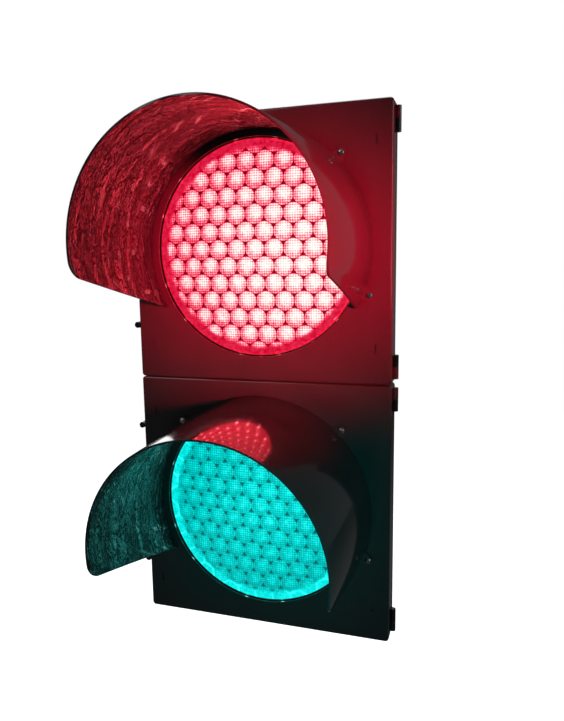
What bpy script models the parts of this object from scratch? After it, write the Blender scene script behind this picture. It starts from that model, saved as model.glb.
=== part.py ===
"""Two-section traffic signal head: a red section over a green one, each with a hinged door that carries
its LED module and a cut-away visor.

Frame: +Z is up and the front faces -Y. The origin is the centre of the bottom hub's flat face, on the
vertical axis of the hubs. Lengths are in metres and angles in degrees.
"""

import math

import bmesh
import bpy
from mathutils import Vector

# ---- driving dimensions -------------------------------------------------------------------------------
WIDTH = 0.365              # of the doors and of the shells' flanges
SECTION = 0.360            # height of one section
GAP = 0.0003               # clearance kept between pieces that touch
HUB_HEIGHT = 0.006         # how far the hub rings stand off the shells
FRONT = -0.078             # the doors' front plane, on Y
DOOR_DEPTH = 0.024
SHELL_DEPTH = 0.112
WALL = 0.003
CORNER_RADIUS = 0.005      # of the doors' and the flanges' outer corners
FLANGE_DEPTH = 0.012
APERTURE_RADIUS = 0.146
LENS_RADIUS = 0.152
VISOR_ROOT_RADIUS = 0.1585
VISOR_TIP_RADIUS = 0.1505
VISOR_LENGTH = 0.205
VISOR_WALL = 0.0025
VISOR_ROOT_ANGLE = 120.0   # half of the wall's arc at the door, from the top
VISOR_TIP_ANGLE = 102.0    # half of the wall's arc at the front rim
VISOR_TAB_ANGLES = (-112.0, -45.0, 45.0, 112.0)
VISOR_TAB_CIRCLE = 0.166   # radius of the circle that the visor screws stand on
CLIP_ANGLES = (0.0, 120.0, 240.0)
CLIP_CIRCLE = 0.166
HUB_RADIUS = 0.040
HUB_BORE = 0.026
LATCH_OFFSET = 0.105       # latch screws, above and below the middle of each door
EAR_RADIUS = 0.0048        # of the round ends of the ears that the latch screws pass through
KNUCKLE_RADIUS = 0.0042
KNUCKLE_LENGTH = 0.016
HINGE_OFFSET = 0.158       # middle of each hinge, above and below the middle of each door
PIN_RADIUS = 0.0020
LEAD_RADIUS = 0.0035

# ---- places worked out from them ----------------------------------------------------------------------
HALF_X = WIDTH / 2
HALF_Z = SECTION / 2
PARTING = FRONT + DOOR_DEPTH
BACK = PARTING + SHELL_DEPTH
EAR_FRONT = FRONT + 0.0105
LOWER_MIDDLE = HUB_HEIGHT + HALF_Z
UPPER_MIDDLE = LOWER_MIDDLE + SECTION
SEAM = HUB_HEIGHT + SECTION
TOP = HUB_HEIGHT + 2 * SECTION
HINGE_X = HALF_X + 0.0022
LATCH_X = -HALF_X - 0.0052
SECTIONS = {"upper": UPPER_MIDDLE, "lower": LOWER_MIDDLE}

STEPS = 36                 # sides of the large round pieces
SMALL_STEPS = 12


# ---- materials ----------------------------------------------------------------------------------------
def make_material(name, color, roughness, metallic=0.0, alpha=1.0):
    """A Principled material with one finish."""
    material = bpy.data.materials.new(name)
    material.use_nodes = True
    shader = material.node_tree.nodes["Principled BSDF"]
    shader.inputs["Base Color"].default_value = (*color, 1.0)
    shader.inputs["Roughness"].default_value = roughness
    shader.inputs["Metallic"].default_value = metallic
    shader.inputs["Alpha"].default_value = alpha
    return material


def make_materials():
    """Every finish that the head uses."""
    return {
        "black": make_material("black_polycarbonate", (0.012, 0.012, 0.014), 0.18),
        "rubber": make_material("black_rubber", (0.02, 0.02, 0.02), 0.75),
        "red": make_material("red_lens", (0.85, 0.02, 0.03), 0.12),
        "green": make_material("green_lens", (0.0, 0.75, 0.55), 0.12),
        "clear": make_material("clear_acrylic", (0.9, 0.92, 0.93), 0.08, alpha=0.35),
        "grey": make_material("grey_plastic", (0.16, 0.16, 0.17), 0.5),
        "board": make_material("circuit_board", (0.02, 0.16, 0.07), 0.4),
        "steel": make_material("stainless_steel", (0.55, 0.55, 0.56), 0.3, 1.0),
        "terminal": make_material("terminal_grey", (0.45, 0.46, 0.47), 0.45),
        "sheath": make_material("lead_sheath", (0.03, 0.03, 0.032), 0.55),
    }


# ---- mesh building ------------------------------------------------------------------------------------
def finish_object(name, mesh_data, material, smooth=True):
    """Turn a bmesh into a named object with outward faces, shaded smooth where it is round."""
    bmesh.ops.recalc_face_normals(mesh_data, faces=mesh_data.faces)
    mesh = bpy.data.meshes.new(name)
    mesh_data.to_mesh(mesh)
    mesh_data.free()
    if material:
        mesh.materials.append(material)
    if smooth:
        mesh.shade_smooth()
        mesh.set_sharp_from_angle(angle=math.radians(35.0))
    piece = bpy.data.objects.new(name, mesh)
    bpy.context.scene.collection.objects.link(piece)
    return piece


def bridge(mesh_data, first, second):
    """Faces between two loops with as many points each, or between a loop and one point."""
    count = max(len(first), len(second))
    for i in range(count):
        j = (i + 1) % count
        if len(first) == 1:
            mesh_data.faces.new((first[0], second[i], second[j]))
        elif len(second) == 1:
            mesh_data.faces.new((first[i], first[j], second[0]))
        else:
            mesh_data.faces.new((first[i], first[j], second[j], second[i]))


def add_lathe(mesh_data, profile, middle, steps, closed=False):
    """Turn a profile of (radius, y) points about the line along Y through middle, an (x, z) point."""
    loops = []
    for radius, y in profile:
        sides = steps if radius else 1
        angles = [2 * math.pi * i / sides for i in range(sides)]
        loops.append([
            mesh_data.verts.new((middle[0] + radius * math.sin(a), y, middle[1] + radius * math.cos(a)))
            for a in angles
        ])
    for first, second in zip(loops, loops[1:]):
        bridge(mesh_data, first, second)
    if closed:
        bridge(mesh_data, loops[-1], loops[0])


def lathe(name, profile, middle, material, steps=STEPS, closed=False):
    """An object turned about a line along Y."""
    mesh_data = bmesh.new()
    add_lathe(mesh_data, profile, middle, steps, closed)
    return finish_object(name, mesh_data, material)


def add_disc(mesh_data, middle, radius, front, back, steps=SMALL_STEPS):
    """A short cylinder along Y."""
    add_lathe(mesh_data, [(0, front), (radius, front), (radius, back), (0, back)], middle, steps)


def add_post(mesh_data, x, y, radius, low, high, steps=SMALL_STEPS):
    """A cylinder along Z."""
    rings = []
    for z in (low, high):
        rings.append([
            mesh_data.verts.new((
                x + radius * math.cos(2 * math.pi * i / steps),
                y + radius * math.sin(2 * math.pi * i / steps),
                z,
            ))
            for i in range(steps)
        ])
    bridge(mesh_data, rings[0], rings[1])
    mesh_data.faces.new(rings[0])
    mesh_data.faces.new(rings[1])


def add_box(mesh_data, low, high):
    """A box between two corners."""
    made = bmesh.ops.create_cube(mesh_data, size=1.0)["verts"]
    low = Vector(low)
    high = Vector(high)
    size = high - low
    for vert in made:
        vert.co = Vector(((low[k] + high[k]) / 2 + vert.co[k] * size[k] for k in range(3)))


def rounded_outline(half_x, half_z, radius, corner_steps=3):
    """The (x, z) points of a rectangle with round corners."""
    points = []
    for quarter, (sign_x, sign_z) in enumerate(((1, 1), (-1, 1), (-1, -1), (1, -1))):
        for i in range(corner_steps + 1):
            angle = math.pi / 2 * (quarter + i / corner_steps)
            points.append((
                sign_x * (half_x - radius) + radius * math.cos(angle),
                sign_z * (half_z - radius) + radius * math.sin(angle),
            ))
    return points


def loft_outlines(name, levels, middle_z, material):
    """A capped solid through rounded rectangles: levels are (y, half_x, half_z, corner radius)."""
    mesh_data = bmesh.new()
    loops = []
    for y, half_x, half_z, radius in levels:
        outline = rounded_outline(half_x, half_z, radius)
        loops.append([mesh_data.verts.new((x, y, middle_z + z)) for x, z in outline])
    for first, second in zip(loops, loops[1:]):
        bridge(mesh_data, first, second)
    mesh_data.faces.new(loops[0])
    mesh_data.faces.new(loops[-1])
    return finish_object(name, mesh_data, material)


def make_tool(name, mesh_data):
    """A hidden solid that only cuts or joins another piece."""
    tool = finish_object(name, mesh_data, None, smooth=False)
    tool.hide_render = True
    tool.display_type = "WIRE"
    return tool


def combine(piece, tool, operation):
    """Add a Boolean of the tool to the piece."""
    modifier = piece.modifiers.new(tool.name, "BOOLEAN")
    modifier.operation = operation
    modifier.object = tool
    modifier.solver = "EXACT"


def on_circle(middle_z, radius, angle):
    """The (x, z) point on a circle about a lens axis, with the angle measured from the top."""
    turn = math.radians(angle)
    return (radius * math.sin(turn), middle_z + radius * math.cos(turn))


# ---- housings -----------------------------------------------------------------------------------------
def hinge_spans(middle_z):
    """For the two hinges of a door: the (low, high) of the door's knuckle and of the housing's."""
    spans = []
    for side in (1, -1):
        middle = middle_z + side * HINGE_OFFSET
        outer = (middle + GAP, middle + KNUCKLE_LENGTH)
        inner = (middle - KNUCKLE_LENGTH, middle - GAP)
        spans.append((outer, inner) if side > 0 else (inner, outer))
    return spans


def latch_points(middle_z):
    """The (x, z) points of a door's two latch screws."""
    return [(LATCH_X, middle_z + LATCH_OFFSET), (LATCH_X, middle_z - LATCH_OFFSET)]


def add_ears(piece, middle_z, front, back, hole_radius):
    """Join an ear at each latch screw to a piece's left edge, and bore it."""
    ears = bmesh.new()
    holes = bmesh.new()
    root = 0.0015 - HALF_X
    for x, z in latch_points(middle_z):
        outline = [(root, z - EAR_RADIUS), (root, z + EAR_RADIUS)]
        for i in range(9):
            turn = math.pi * (0.5 + i / 8)
            outline.append((x + EAR_RADIUS * math.cos(turn), z + EAR_RADIUS * math.sin(turn)))
        rings = [[ears.verts.new((u, y, v)) for u, v in outline] for y in (front, back)]
        bridge(ears, rings[0], rings[1])
        ears.faces.new(rings[0])
        ears.faces.new(rings[1])
        add_disc(holes, (x, z), hole_radius, front - 0.001, back + 0.001)
    combine(piece, make_tool(piece.name + "_ears", ears), "UNION")
    combine(piece, make_tool(piece.name + "_latch_bores", holes), "DIFFERENCE")


def add_knuckle_tools(piece, own_spans, other_spans):
    """Join a piece's own hinge knuckles, clear its partner's, and bore the pin holes."""
    joined = bmesh.new()
    cleared = bmesh.new()
    bored = bmesh.new()
    for low, high in own_spans:
        add_post(joined, HINGE_X, PARTING + GAP / 2, KNUCKLE_RADIUS, low, high, 16)
        add_post(bored, HINGE_X, PARTING + GAP / 2, PIN_RADIUS + GAP, low - 0.001, high + 0.001, 16)
    for low, high in other_spans:
        relief = KNUCKLE_RADIUS + 0.0005
        add_post(cleared, HINGE_X, PARTING + GAP / 2, relief, low - 0.0008, high + 0.0008, 16)
    combine(piece, make_tool(piece.name + "_relief", cleared), "DIFFERENCE")
    combine(piece, make_tool(piece.name + "_knuckles", joined), "UNION")
    combine(piece, make_tool(piece.name + "_pin_bores", bored), "DIFFERENCE")


def make_housing(section, middle_z, material):
    """One rear shell: a flange, tapering sides, a closed back, a hub, hinge knuckles and latch ears."""
    front = PARTING + GAP
    flange = front + FLANGE_DEPTH
    half_z = HALF_Z - GAP / 2
    levels = [
        (BACK - WALL, 0.136, half_z - 0.018, 0.010),
        (BACK - 0.006, 0.146, half_z - 0.008, 0.010),
        (BACK - 0.012, 0.1535, half_z - WALL, 0.010),
        (BACK - 0.034, 0.163, half_z - WALL, 0.010),
        (flange, HALF_X - 0.0075, half_z - WALL, 0.008),
        (front + 0.004, HALF_X - 0.0075, half_z - WALL, 0.008),
        (front, HALF_X - 0.0080, half_z - 0.0065, 0.006),
        (front, HALF_X, half_z, CORNER_RADIUS),
        (flange, HALF_X, half_z, CORNER_RADIUS),
        (flange + 0.001, HALF_X - 0.0045, half_z, CORNER_RADIUS),
        (BACK - 0.034, 0.166, half_z, 0.008),
        (BACK - 0.010, 0.156, half_z, 0.010),
        (BACK - 0.003, 0.148, half_z - 0.005, 0.010),
        (BACK, 0.138, half_z - 0.016, 0.010),
    ]
    shell = loft_outlines(section + "_housing", levels, middle_z, material)
    doors, housings = zip(*hinge_spans(middle_z))
    add_knuckle_tools(shell, housings, doors)

    add_ears(shell, middle_z, front, flange - 0.0005, 0.0031)

    outer_end = 1 if section == "upper" else -1
    face = middle_z + outer_end * HALF_Z
    hub = bmesh.new()
    low, high = sorted((face - outer_end * 0.001, face + outer_end * HUB_HEIGHT))
    add_post(hub, 0, 0, HUB_RADIUS, low, high, STEPS)
    combine(shell, make_tool(section + "_hub", hub), "UNION")
    bores = bmesh.new()
    for side in (1, -1):
        level = middle_z + side * HALF_Z
        add_post(bores, 0, 0, HUB_BORE, level - 0.009, level + 0.009, STEPS)
    combine(shell, make_tool(section + "_hub_bores", bores), "DIFFERENCE")
    seat = bmesh.new()
    add_post(seat, 0, 0, 0.0385, SEAM - 0.0015, SEAM + 0.0015, STEPS)
    combine(shell, make_tool(section + "_seal_seat", seat), "DIFFERENCE")
    return shell


# ---- doors --------------------------------------------------------------------------------------------
def make_door(section, middle_z, material):
    """A door panel with a round aperture, hinge knuckles, latch ears, clip bosses and corner pockets."""
    half_z = HALF_Z - GAP / 2
    levels = [
        (FRONT, HALF_X - 0.004, half_z - 0.004, CORNER_RADIUS - 0.0035),
        (FRONT + 0.0012, HALF_X - 0.0012, half_z - 0.0012, CORNER_RADIUS - 0.0012),
        (FRONT + 0.004, HALF_X, half_z, CORNER_RADIUS),
        (PARTING, HALF_X, half_z, CORNER_RADIUS),
        (PARTING, HALF_X - WALL, half_z - WALL, CORNER_RADIUS - WALL),
        (FRONT + WALL, HALF_X - WALL, half_z - WALL, CORNER_RADIUS - WALL),
    ]
    door = loft_outlines(section + "_door", levels, middle_z, material)

    openings = bmesh.new()
    add_disc(openings, (0, middle_z), APERTURE_RADIUS, FRONT - 0.01, FRONT + 0.01, STEPS)
    for side_x in (1, -1):
        for side_z in (1, -1):
            x = side_x * 0.1605
            z = middle_z + side_z * 0.131
            add_box(openings, (x - 0.002, FRONT - 0.002, z - 0.006), (x + 0.002, FRONT + 0.0016, z + 0.006))
    combine(door, make_tool(section + "_aperture_and_pockets", openings), "DIFFERENCE")

    doors, housings = zip(*hinge_spans(middle_z))
    add_knuckle_tools(door, doors, housings)
    add_ears(door, middle_z, EAR_FRONT, PARTING - 0.0001, 0.0028)

    bosses = bmesh.new()
    holes = bmesh.new()
    for angle in CLIP_ANGLES:
        place = on_circle(middle_z, CLIP_CIRCLE, angle)
        add_disc(bosses, place, 0.0045, FRONT + 0.002, FRONT + 0.0155)
        add_disc(holes, place, 0.0018, FRONT + 0.0075, FRONT + 0.017)
    for angle in VISOR_TAB_ANGLES:
        add_disc(holes, on_circle(middle_z, VISOR_TAB_CIRCLE, angle), 0.0023, FRONT - 0.001, FRONT + 0.005)
    combine(door, make_tool(section + "_clip_bosses", bosses), "UNION")
    combine(door, make_tool(section + "_screw_holes", holes), "DIFFERENCE")
    return door


def make_door_gasket(section, middle_z, material):
    """The rubber strip that lies inside the door's skirt and seals it on the shell's flange."""
    step = WALL + GAP
    inset = step + 0.0035
    low = PARTING - 0.004
    corners = [(low, step, 0.0080), (PARTING, step, 0.0080), (PARTING, inset, 0.005), (low, inset, 0.005)]
    mesh_data = bmesh.new()
    loops = []
    for y, inward, radius in corners:
        outline = rounded_outline(HALF_X - inward, HALF_Z - GAP / 2 - inward, radius)
        loops.append([mesh_data.verts.new((x, y, middle_z + z)) for x, z in outline])
    for first, second in zip(loops, loops[1:] + loops[:1]):
        bridge(mesh_data, first, second)
    return finish_object(section + "_door_gasket", mesh_data, material)


# ---- visors -------------------------------------------------------------------------------------------
def visor_half_angle(share):
    """Half of the visor wall's arc at a share of its length, with the front-lower corner rounded off."""
    straight = VISOR_ROOT_ANGLE + (VISOR_TIP_ANGLE - VISOR_ROOT_ANGLE) * share
    corner = 0.07
    past = max(0.0, share - (1 - corner)) / corner
    return straight - 5.0 * (1 - math.sqrt(max(0.0, 1 - past * past)))


def make_visor(section, middle_z, material):
    """A tapering arch, open below, whose lower edges rise towards the front, with four fixing tabs."""
    shares = (0.0, 0.5, 0.93, 0.965, 0.99, 1.0)
    steps = 30
    mesh_data = bmesh.new()
    grids = []
    for inset in (0.0, VISOR_WALL):
        grid = []
        for share in shares:
            radius = VISOR_ROOT_RADIUS + (VISOR_TIP_RADIUS - VISOR_ROOT_RADIUS) * share - inset
            half_angle = visor_half_angle(share)
            y = FRONT - GAP - share * (VISOR_LENGTH - GAP)
            row = []
            for i in range(steps + 1):
                x, z = on_circle(middle_z, radius, half_angle * (2 * i / steps - 1))
                row.append(mesh_data.verts.new((x, y, z)))
            grid.append(row)
        grids.append(grid)
    outer, inner = grids
    for grid in grids:
        for row, following in zip(grid, grid[1:]):
            for i in range(steps):
                mesh_data.faces.new((row[i], row[i + 1], following[i + 1], following[i]))
    for level in (0, -1):
        for i in range(steps):
            near, far = outer[level], inner[level]
            mesh_data.faces.new((near[i], near[i + 1], far[i + 1], far[i]))
    for side in (0, -1):
        for i in range(len(shares) - 1):
            mesh_data.faces.new((outer[i][side], outer[i + 1][side], inner[i + 1][side], inner[i][side]))
    visor = finish_object(section + "_visor", mesh_data, material)

    tabs = bmesh.new()
    holes = bmesh.new()
    for angle in VISOR_TAB_ANGLES:
        turn = math.radians(angle)
        outward = Vector((math.sin(turn), 0, math.cos(turn)))
        across = Vector((math.cos(turn), 0, -math.sin(turn)))
        base = Vector((0, 0, middle_z))
        rings = []
        for y in (FRONT - GAP, FRONT - GAP - 0.003):
            outline = [base + outward * 0.1572 - across * 0.010]
            for i in range(7):
                sweep = math.pi * i / 6
                outline.append(base + outward * (VISOR_TAB_CIRCLE + 0.0065 * math.sin(sweep))
                               - across * 0.0065 * math.cos(sweep))
            outline.append(base + outward * 0.1572 + across * 0.010)
            rings.append([tabs.verts.new((p.x, y, p.z)) for p in outline])
        bridge(tabs, rings[0], rings[1])
        tabs.faces.new(rings[0])
        tabs.faces.new(rings[1])
        add_disc(holes, on_circle(middle_z, VISOR_TAB_CIRCLE, angle), 0.0023, FRONT - 0.005, FRONT + 0.001)
    combine(visor, make_tool(section + "_visor_tabs", tabs), "UNION")
    combine(visor, make_tool(section + "_visor_tab_holes", holes), "DIFFERENCE")
    return visor


# ---- screws, pins and clips ---------------------------------------------------------------------------
def make_screw(name, middle, seat, head_radius, head_height, shank_radius, length, material,
               back_side=False):
    """A screw along Y: its head stands on the seat and its shank points into the door."""
    away = 1 if back_side else -1
    head = seat + away * (GAP + head_height)
    profile = [
        (0, head),
        (head_radius * 0.6, head),
        (head_radius, head - away * head_height * 0.5),
        (head_radius, seat + away * GAP),
        (shank_radius, seat + away * GAP),
        (shank_radius, seat - away * length),
        (0, seat - away * length),
    ]
    return lathe(name, profile, middle, material, SMALL_STEPS)


def make_latch_screw(name, middle, material):
    """A captive screw: a slotted head on the door's ear, and a plain shank through both ears."""
    head = FRONT + 0.0022
    profile = [
        (0, head),
        (0.0037, head),
        (0.0045, head + 0.0008),
        (0.0045, EAR_FRONT - GAP),
        (0.0023, EAR_FRONT - GAP),
        (0.0023, PARTING + FLANGE_DEPTH - 0.001),
        (0, PARTING + FLANGE_DEPTH - 0.001),
    ]
    screw = lathe(name, profile, middle, material, 16)
    slot = bmesh.new()
    x, z = middle
    add_box(slot, (x - 0.0006, head - 0.001, z - 0.006), (x + 0.0006, head + 0.0014, z + 0.006))
    combine(screw, make_tool(name + "_slot", slot), "DIFFERENCE")
    return screw


def make_hinge_pin(name, low, high, material):
    """A plain pin along Z through a pair of knuckles, with chamfered ends."""
    mesh_data = bmesh.new()
    rings = []
    chamfer = 0.0005
    ends = PIN_RADIUS - chamfer
    for radius, z in ((ends, low), (PIN_RADIUS, low + chamfer), (PIN_RADIUS, high - chamfer), (ends, high)):
        rings.append([
            mesh_data.verts.new((
                HINGE_X + radius * math.cos(2 * math.pi * i / 16),
                PARTING + GAP / 2 + radius * math.sin(2 * math.pi * i / 16),
                z,
            ))
            for i in range(16)
        ])
    for first, second in zip(rings, rings[1:]):
        bridge(mesh_data, first, second)
    mesh_data.faces.new(rings[0])
    mesh_data.faces.new(rings[-1])
    return finish_object(name, mesh_data, material)


def make_module_clip(section, middle_z, number, angle, material):
    """A flat steel clip from a door boss on to the back of the lens gasket."""
    turn = math.radians(angle)
    outward = Vector((math.sin(turn), 0, math.cos(turn)))
    across = Vector((math.cos(turn), 0, -math.sin(turn)))
    base = Vector((0, 0, middle_z))
    near = FRONT + 0.0155 + GAP
    mesh_data = bmesh.new()
    rings = []
    for y in (near, near + 0.0015):
        corners = [(0.1512, -0.006), (0.1705, -0.006), (0.1705, 0.006), (0.1512, 0.006)]
        points = [base + outward * r + across * s for r, s in corners]
        rings.append([mesh_data.verts.new((p.x, y, p.z)) for p in points])
    bridge(mesh_data, rings[0], rings[1])
    mesh_data.faces.new(rings[0])
    mesh_data.faces.new(rings[1])
    clip = finish_object(f"{section}_module_clip_{number}", mesh_data, material, smooth=False)
    middle = on_circle(middle_z, CLIP_CIRCLE, angle)
    hole = bmesh.new()
    add_disc(hole, middle, 0.0020, near - 0.001, near + 0.0025)
    combine(clip, make_tool(clip.name + "_hole", hole), "DIFFERENCE")
    screw = make_screw(f"{section}_clip_screw_{number}", middle, near + 0.0015, 0.0035, 0.0022, 0.0015,
                       0.0085, material, back_side=True)
    return [clip, screw]


# ---- LED module ---------------------------------------------------------------------------------------
def dome(radius, edge, crown, steps=4):
    """Points (radius, y) of a shallow dome from its rim to its crown, along a circle's arc."""
    rise = edge - crown
    sphere = (radius * radius + rise * rise) / (2 * rise)
    points = []
    for i in range(steps):
        r = radius * (1 - i / steps)
        points.append((r, crown + sphere - math.sqrt(sphere * sphere - r * r)))
    points.append((0, crown))
    return points


def make_lens(section, middle_z, material):
    """The coloured outer lens: a shallow dome with a flat rim."""
    outside = dome(0.1430, FRONT + 0.0056, FRONT - 0.0050)
    inside = dome(0.1405, FRONT + 0.0087, FRONT - 0.0020)
    rim = [(LENS_RADIUS, FRONT + 0.0087), (LENS_RADIUS, FRONT + 0.0056)]
    profile = inside[::-1] + rim + outside
    return lathe(section + "_lens", profile, (0, middle_z), material)


def make_lens_gasket(section, middle_z, material):
    """The rubber channel around the edges of the lens and the module case."""
    profile = [
        (0.1445, FRONT + WALL + GAP),
        (0.1555, FRONT + WALL + GAP),
        (0.1555, FRONT + 0.0155),
        (0.1490, FRONT + 0.0155),
        (0.1490, FRONT + 0.0123),
        (0.1523, FRONT + 0.0123),
        (0.1523, FRONT + 0.0053),
        (0.1445, FRONT + 0.0053),
    ]
    return lathe(section + "_lens_gasket", profile, (0, middle_z), material, closed=True)


def make_module_case(section, middle_z, material):
    """The dished rear case of the LED module."""
    front = FRONT + 0.0087 + GAP
    profile = [
        (0.1450, front),
        (LENS_RADIUS, front),
        (LENS_RADIUS, FRONT + 0.0120),
        (0.1475, FRONT + 0.0120),
        (0.1475, FRONT + 0.0220),
        (0.1200, FRONT + 0.0450),
        (0.0850, FRONT + 0.0600),
        (0.0800, FRONT + 0.0880),
        (0.0760, FRONT + 0.0920),
        (0, FRONT + 0.0920),
    ]
    inside = [
        (0, FRONT + 0.0895),
        (0.0735, FRONT + 0.0895),
        (0.0775, FRONT + 0.0865),
        (0.0825, FRONT + 0.0585),
        (0.1185, FRONT + 0.0425),
        (0.1450, FRONT + 0.0210),
    ]
    mesh_data = bmesh.new()
    add_lathe(mesh_data, inside + profile, (0, middle_z), STEPS)
    case = finish_object(section + "_module_case", mesh_data, material)
    hole = bmesh.new()
    add_disc(hole, (0.045, middle_z), 0.0063, FRONT + 0.08, FRONT + 0.1, 16)
    combine(case, make_tool(section + "_gland_hole", hole), "DIFFERENCE")
    return case


def make_fresnel_lens(section, middle_z, material):
    """The clear inner lens that spreads the light over the outer one."""
    flat = FRONT + 0.0330
    profile = [(0, flat), (0.1295, flat), (0.1295, flat - 0.0025), (0.0950, flat - 0.0030),
               (0.0600, flat - 0.0045), (0, flat - 0.0070)]
    return lathe(section + "_fresnel_lens", profile, (0, middle_z), material)


def make_led_board(section, middle_z, material):
    """The round LED board with a centre LED and a ring of six."""
    front = FRONT + 0.0557
    board = lathe(section + "_led_board", [(0, front), (0.0810, front), (0.0810, front + 0.0016),
                                           (0, front + 0.0016)], (0, middle_z), material, STEPS)
    leds = bmesh.new()
    add_disc(leds, (0, middle_z), 0.0050, front - 0.0040, front + 0.0005, 8)
    for i in range(6):
        add_disc(leds, on_circle(middle_z, 0.024, 60.0 * i), 0.0050, front - 0.0040, front + 0.0005, 8)
    combine(board, make_tool(section + "_leds", leds), "UNION")
    return board


def make_driver_board(section, middle_z, material):
    """The power supply board behind the LEDs, with its transformer, capacitors and stand-offs."""
    front = FRONT + 0.0740
    back = front + 0.0016
    mesh_data = bmesh.new()
    add_box(mesh_data, (-0.045, front, middle_z - 0.030), (0.035, back, middle_z + 0.030))
    board = finish_object(section + "_driver_board", mesh_data, material, smooth=False)
    parts = bmesh.new()
    add_box(parts, (-0.012, back - 0.0006, middle_z - 0.011), (0.012, back + 0.011, middle_z + 0.011))
    add_disc(parts, (-0.028, middle_z + 0.012), 0.006, back - 0.0006, back + 0.0105)
    add_disc(parts, (-0.028, middle_z - 0.012), 0.006, back - 0.0006, back + 0.0105)
    for x in (-0.041, 0.031):
        for z in (-0.026, 0.026):
            add_disc(parts, (x, middle_z + z), 0.0025, FRONT + 0.0573 + GAP, front + 0.0006, 8)
    combine(board, make_tool(section + "_driver_parts", parts), "UNION")
    return board


def make_cable_gland(section, middle_z, material):
    """The gland in the back of the module case: a nut, a stem through the wall and a bore for the lead."""
    wall_in = FRONT + 0.0895
    wall_out = FRONT + 0.0920
    bore = LEAD_RADIUS + 0.0005
    profile = [
        (bore, wall_in - 0.003),
        (0.0085, wall_in - 0.003),
        (0.0085, wall_in - GAP),
        (0.0060, wall_in - GAP),
        (0.0060, wall_out + GAP),
        (0.0085, wall_out + GAP),
        (0.0085, wall_out + 0.007),
        (0.0060, wall_out + 0.010),
        (bore, wall_out + 0.010),
    ]
    return lathe(section + "_cable_gland", profile, (0.045, middle_z), material, SMALL_STEPS, closed=True)


# ---- wiring and coupling ------------------------------------------------------------------------------
def smooth_route(points, spacing):
    """Points along a Catmull-Rom curve through the route's own points, about the spacing apart."""
    route = [Vector(p) for p in points]
    padded = [route[0] * 2 - route[1]] + route + [route[-1] * 2 - route[-2]]
    result = []
    for a, b, c, d in zip(padded, padded[1:], padded[2:], padded[3:]):
        count = max(1, round((c - b).length / spacing))
        for i in range(count):
            t = i / count
            result.append(0.5 * (2 * b + (c - a) * t + (2 * a - 5 * b + 4 * c - d) * t ** 2
                                 + (3 * b - 3 * c + d - a) * t ** 3))
    result.append(route[-1])
    return result


def make_lead(name, points, material):
    """A round lead along a smooth curve through its route's points."""
    curve = bpy.data.curves.new(name, "CURVE")
    curve.dimensions = "3D"
    curve.bevel_depth = LEAD_RADIUS
    curve.bevel_resolution = 2
    curve.use_fill_caps = True
    route = smooth_route(points, 0.016)
    spline = curve.splines.new("POLY")
    spline.points.add(len(route) - 1)
    for target, source in zip(spline.points, route):
        target.co = (*source, 1.0)
    curve.materials.append(material)
    lead = bpy.data.objects.new(name, curve)
    bpy.context.scene.collection.objects.link(lead)
    return lead


def make_leads(material):
    """The lead of each module: from the terminal block, up the hinge side, and into the case's gland."""
    inside = FRONT + 0.0880
    start_y = BACK - WALL - 0.020
    lower = [
        (0.020, start_y - 0.004, 0.1040),
        (0.024, start_y - 0.004, 0.1120),
        (0.070, start_y - 0.006, 0.1200),
        (0.128, 0.020, 0.1230),
        (0.154, -0.010, 0.1380),
        (0.158, -0.025, 0.1560),
        (0.150, -0.010, 0.1720),
        (0.105, 0.030, LOWER_MIDDLE - 0.004),
        (0.062, 0.041, LOWER_MIDDLE),
        (0.046, 0.034, LOWER_MIDDLE),
        (0.045, 0.027, LOWER_MIDDLE),
        (0.045, 0.020, LOWER_MIDDLE),
        (0.045, inside, LOWER_MIDDLE),
    ]
    upper = [
        (-0.020, start_y - 0.004, 0.1040),
        (-0.024, start_y - 0.004, 0.1120),
        (-0.060, 0.030, 0.1600),
        (-0.070, 0.030, 0.2400),
        (-0.030, 0.020, 0.3050),
        (0.000, 0.000, 0.3450),
        (0.000, 0.000, 0.3900),
        (0.040, 0.010, 0.4300),
        (0.110, 0.020, 0.4700),
        (0.154, -0.010, 0.4980),
        (0.158, -0.025, 0.5160),
        (0.150, -0.010, 0.5320),
        (0.105, 0.030, UPPER_MIDDLE - 0.004),
        (0.062, 0.041, UPPER_MIDDLE),
        (0.046, 0.034, UPPER_MIDDLE),
        (0.045, 0.027, UPPER_MIDDLE),
        (0.045, 0.020, UPPER_MIDDLE),
        (0.045, inside, UPPER_MIDDLE),
    ]
    return [make_lead("lower_module_lead", lower, material), make_lead("upper_module_lead", upper, material)]


def upright_lathe(name, profile, material, steps=STEPS):
    """A closed profile of (radius, z) points turned about the hubs' axis."""
    mesh_data = bmesh.new()
    rings = []
    for radius, z in profile:
        rings.append([
            mesh_data.verts.new((
                radius * math.cos(2 * math.pi * i / steps),
                radius * math.sin(2 * math.pi * i / steps),
                z,
            ))
            for i in range(steps)
        ])
    for first, second in zip(rings, rings[1:] + rings[:1]):
        bridge(mesh_data, first, second)
    return finish_object(name, mesh_data, material)


def make_ring_nut(name, near, far, material):
    """A ring nut about the hubs' axis, with notches for a spanner."""
    nut = upright_lathe(name, [(0.0246, near), (0.0340, near), (0.0340, far), (0.0246, far)], material)
    notches = bmesh.new()
    low, high = sorted((near, far))
    for i in range(6):
        angle = math.radians(60.0 * i + 5.0)
        x = 0.0345 * math.cos(angle)
        y = 0.0345 * math.sin(angle)
        add_post(notches, x, y, 0.0035, low - 0.001, high + 0.001, 8)
    combine(nut, make_tool(name + "_notches", notches), "DIFFERENCE")
    return nut


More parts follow.
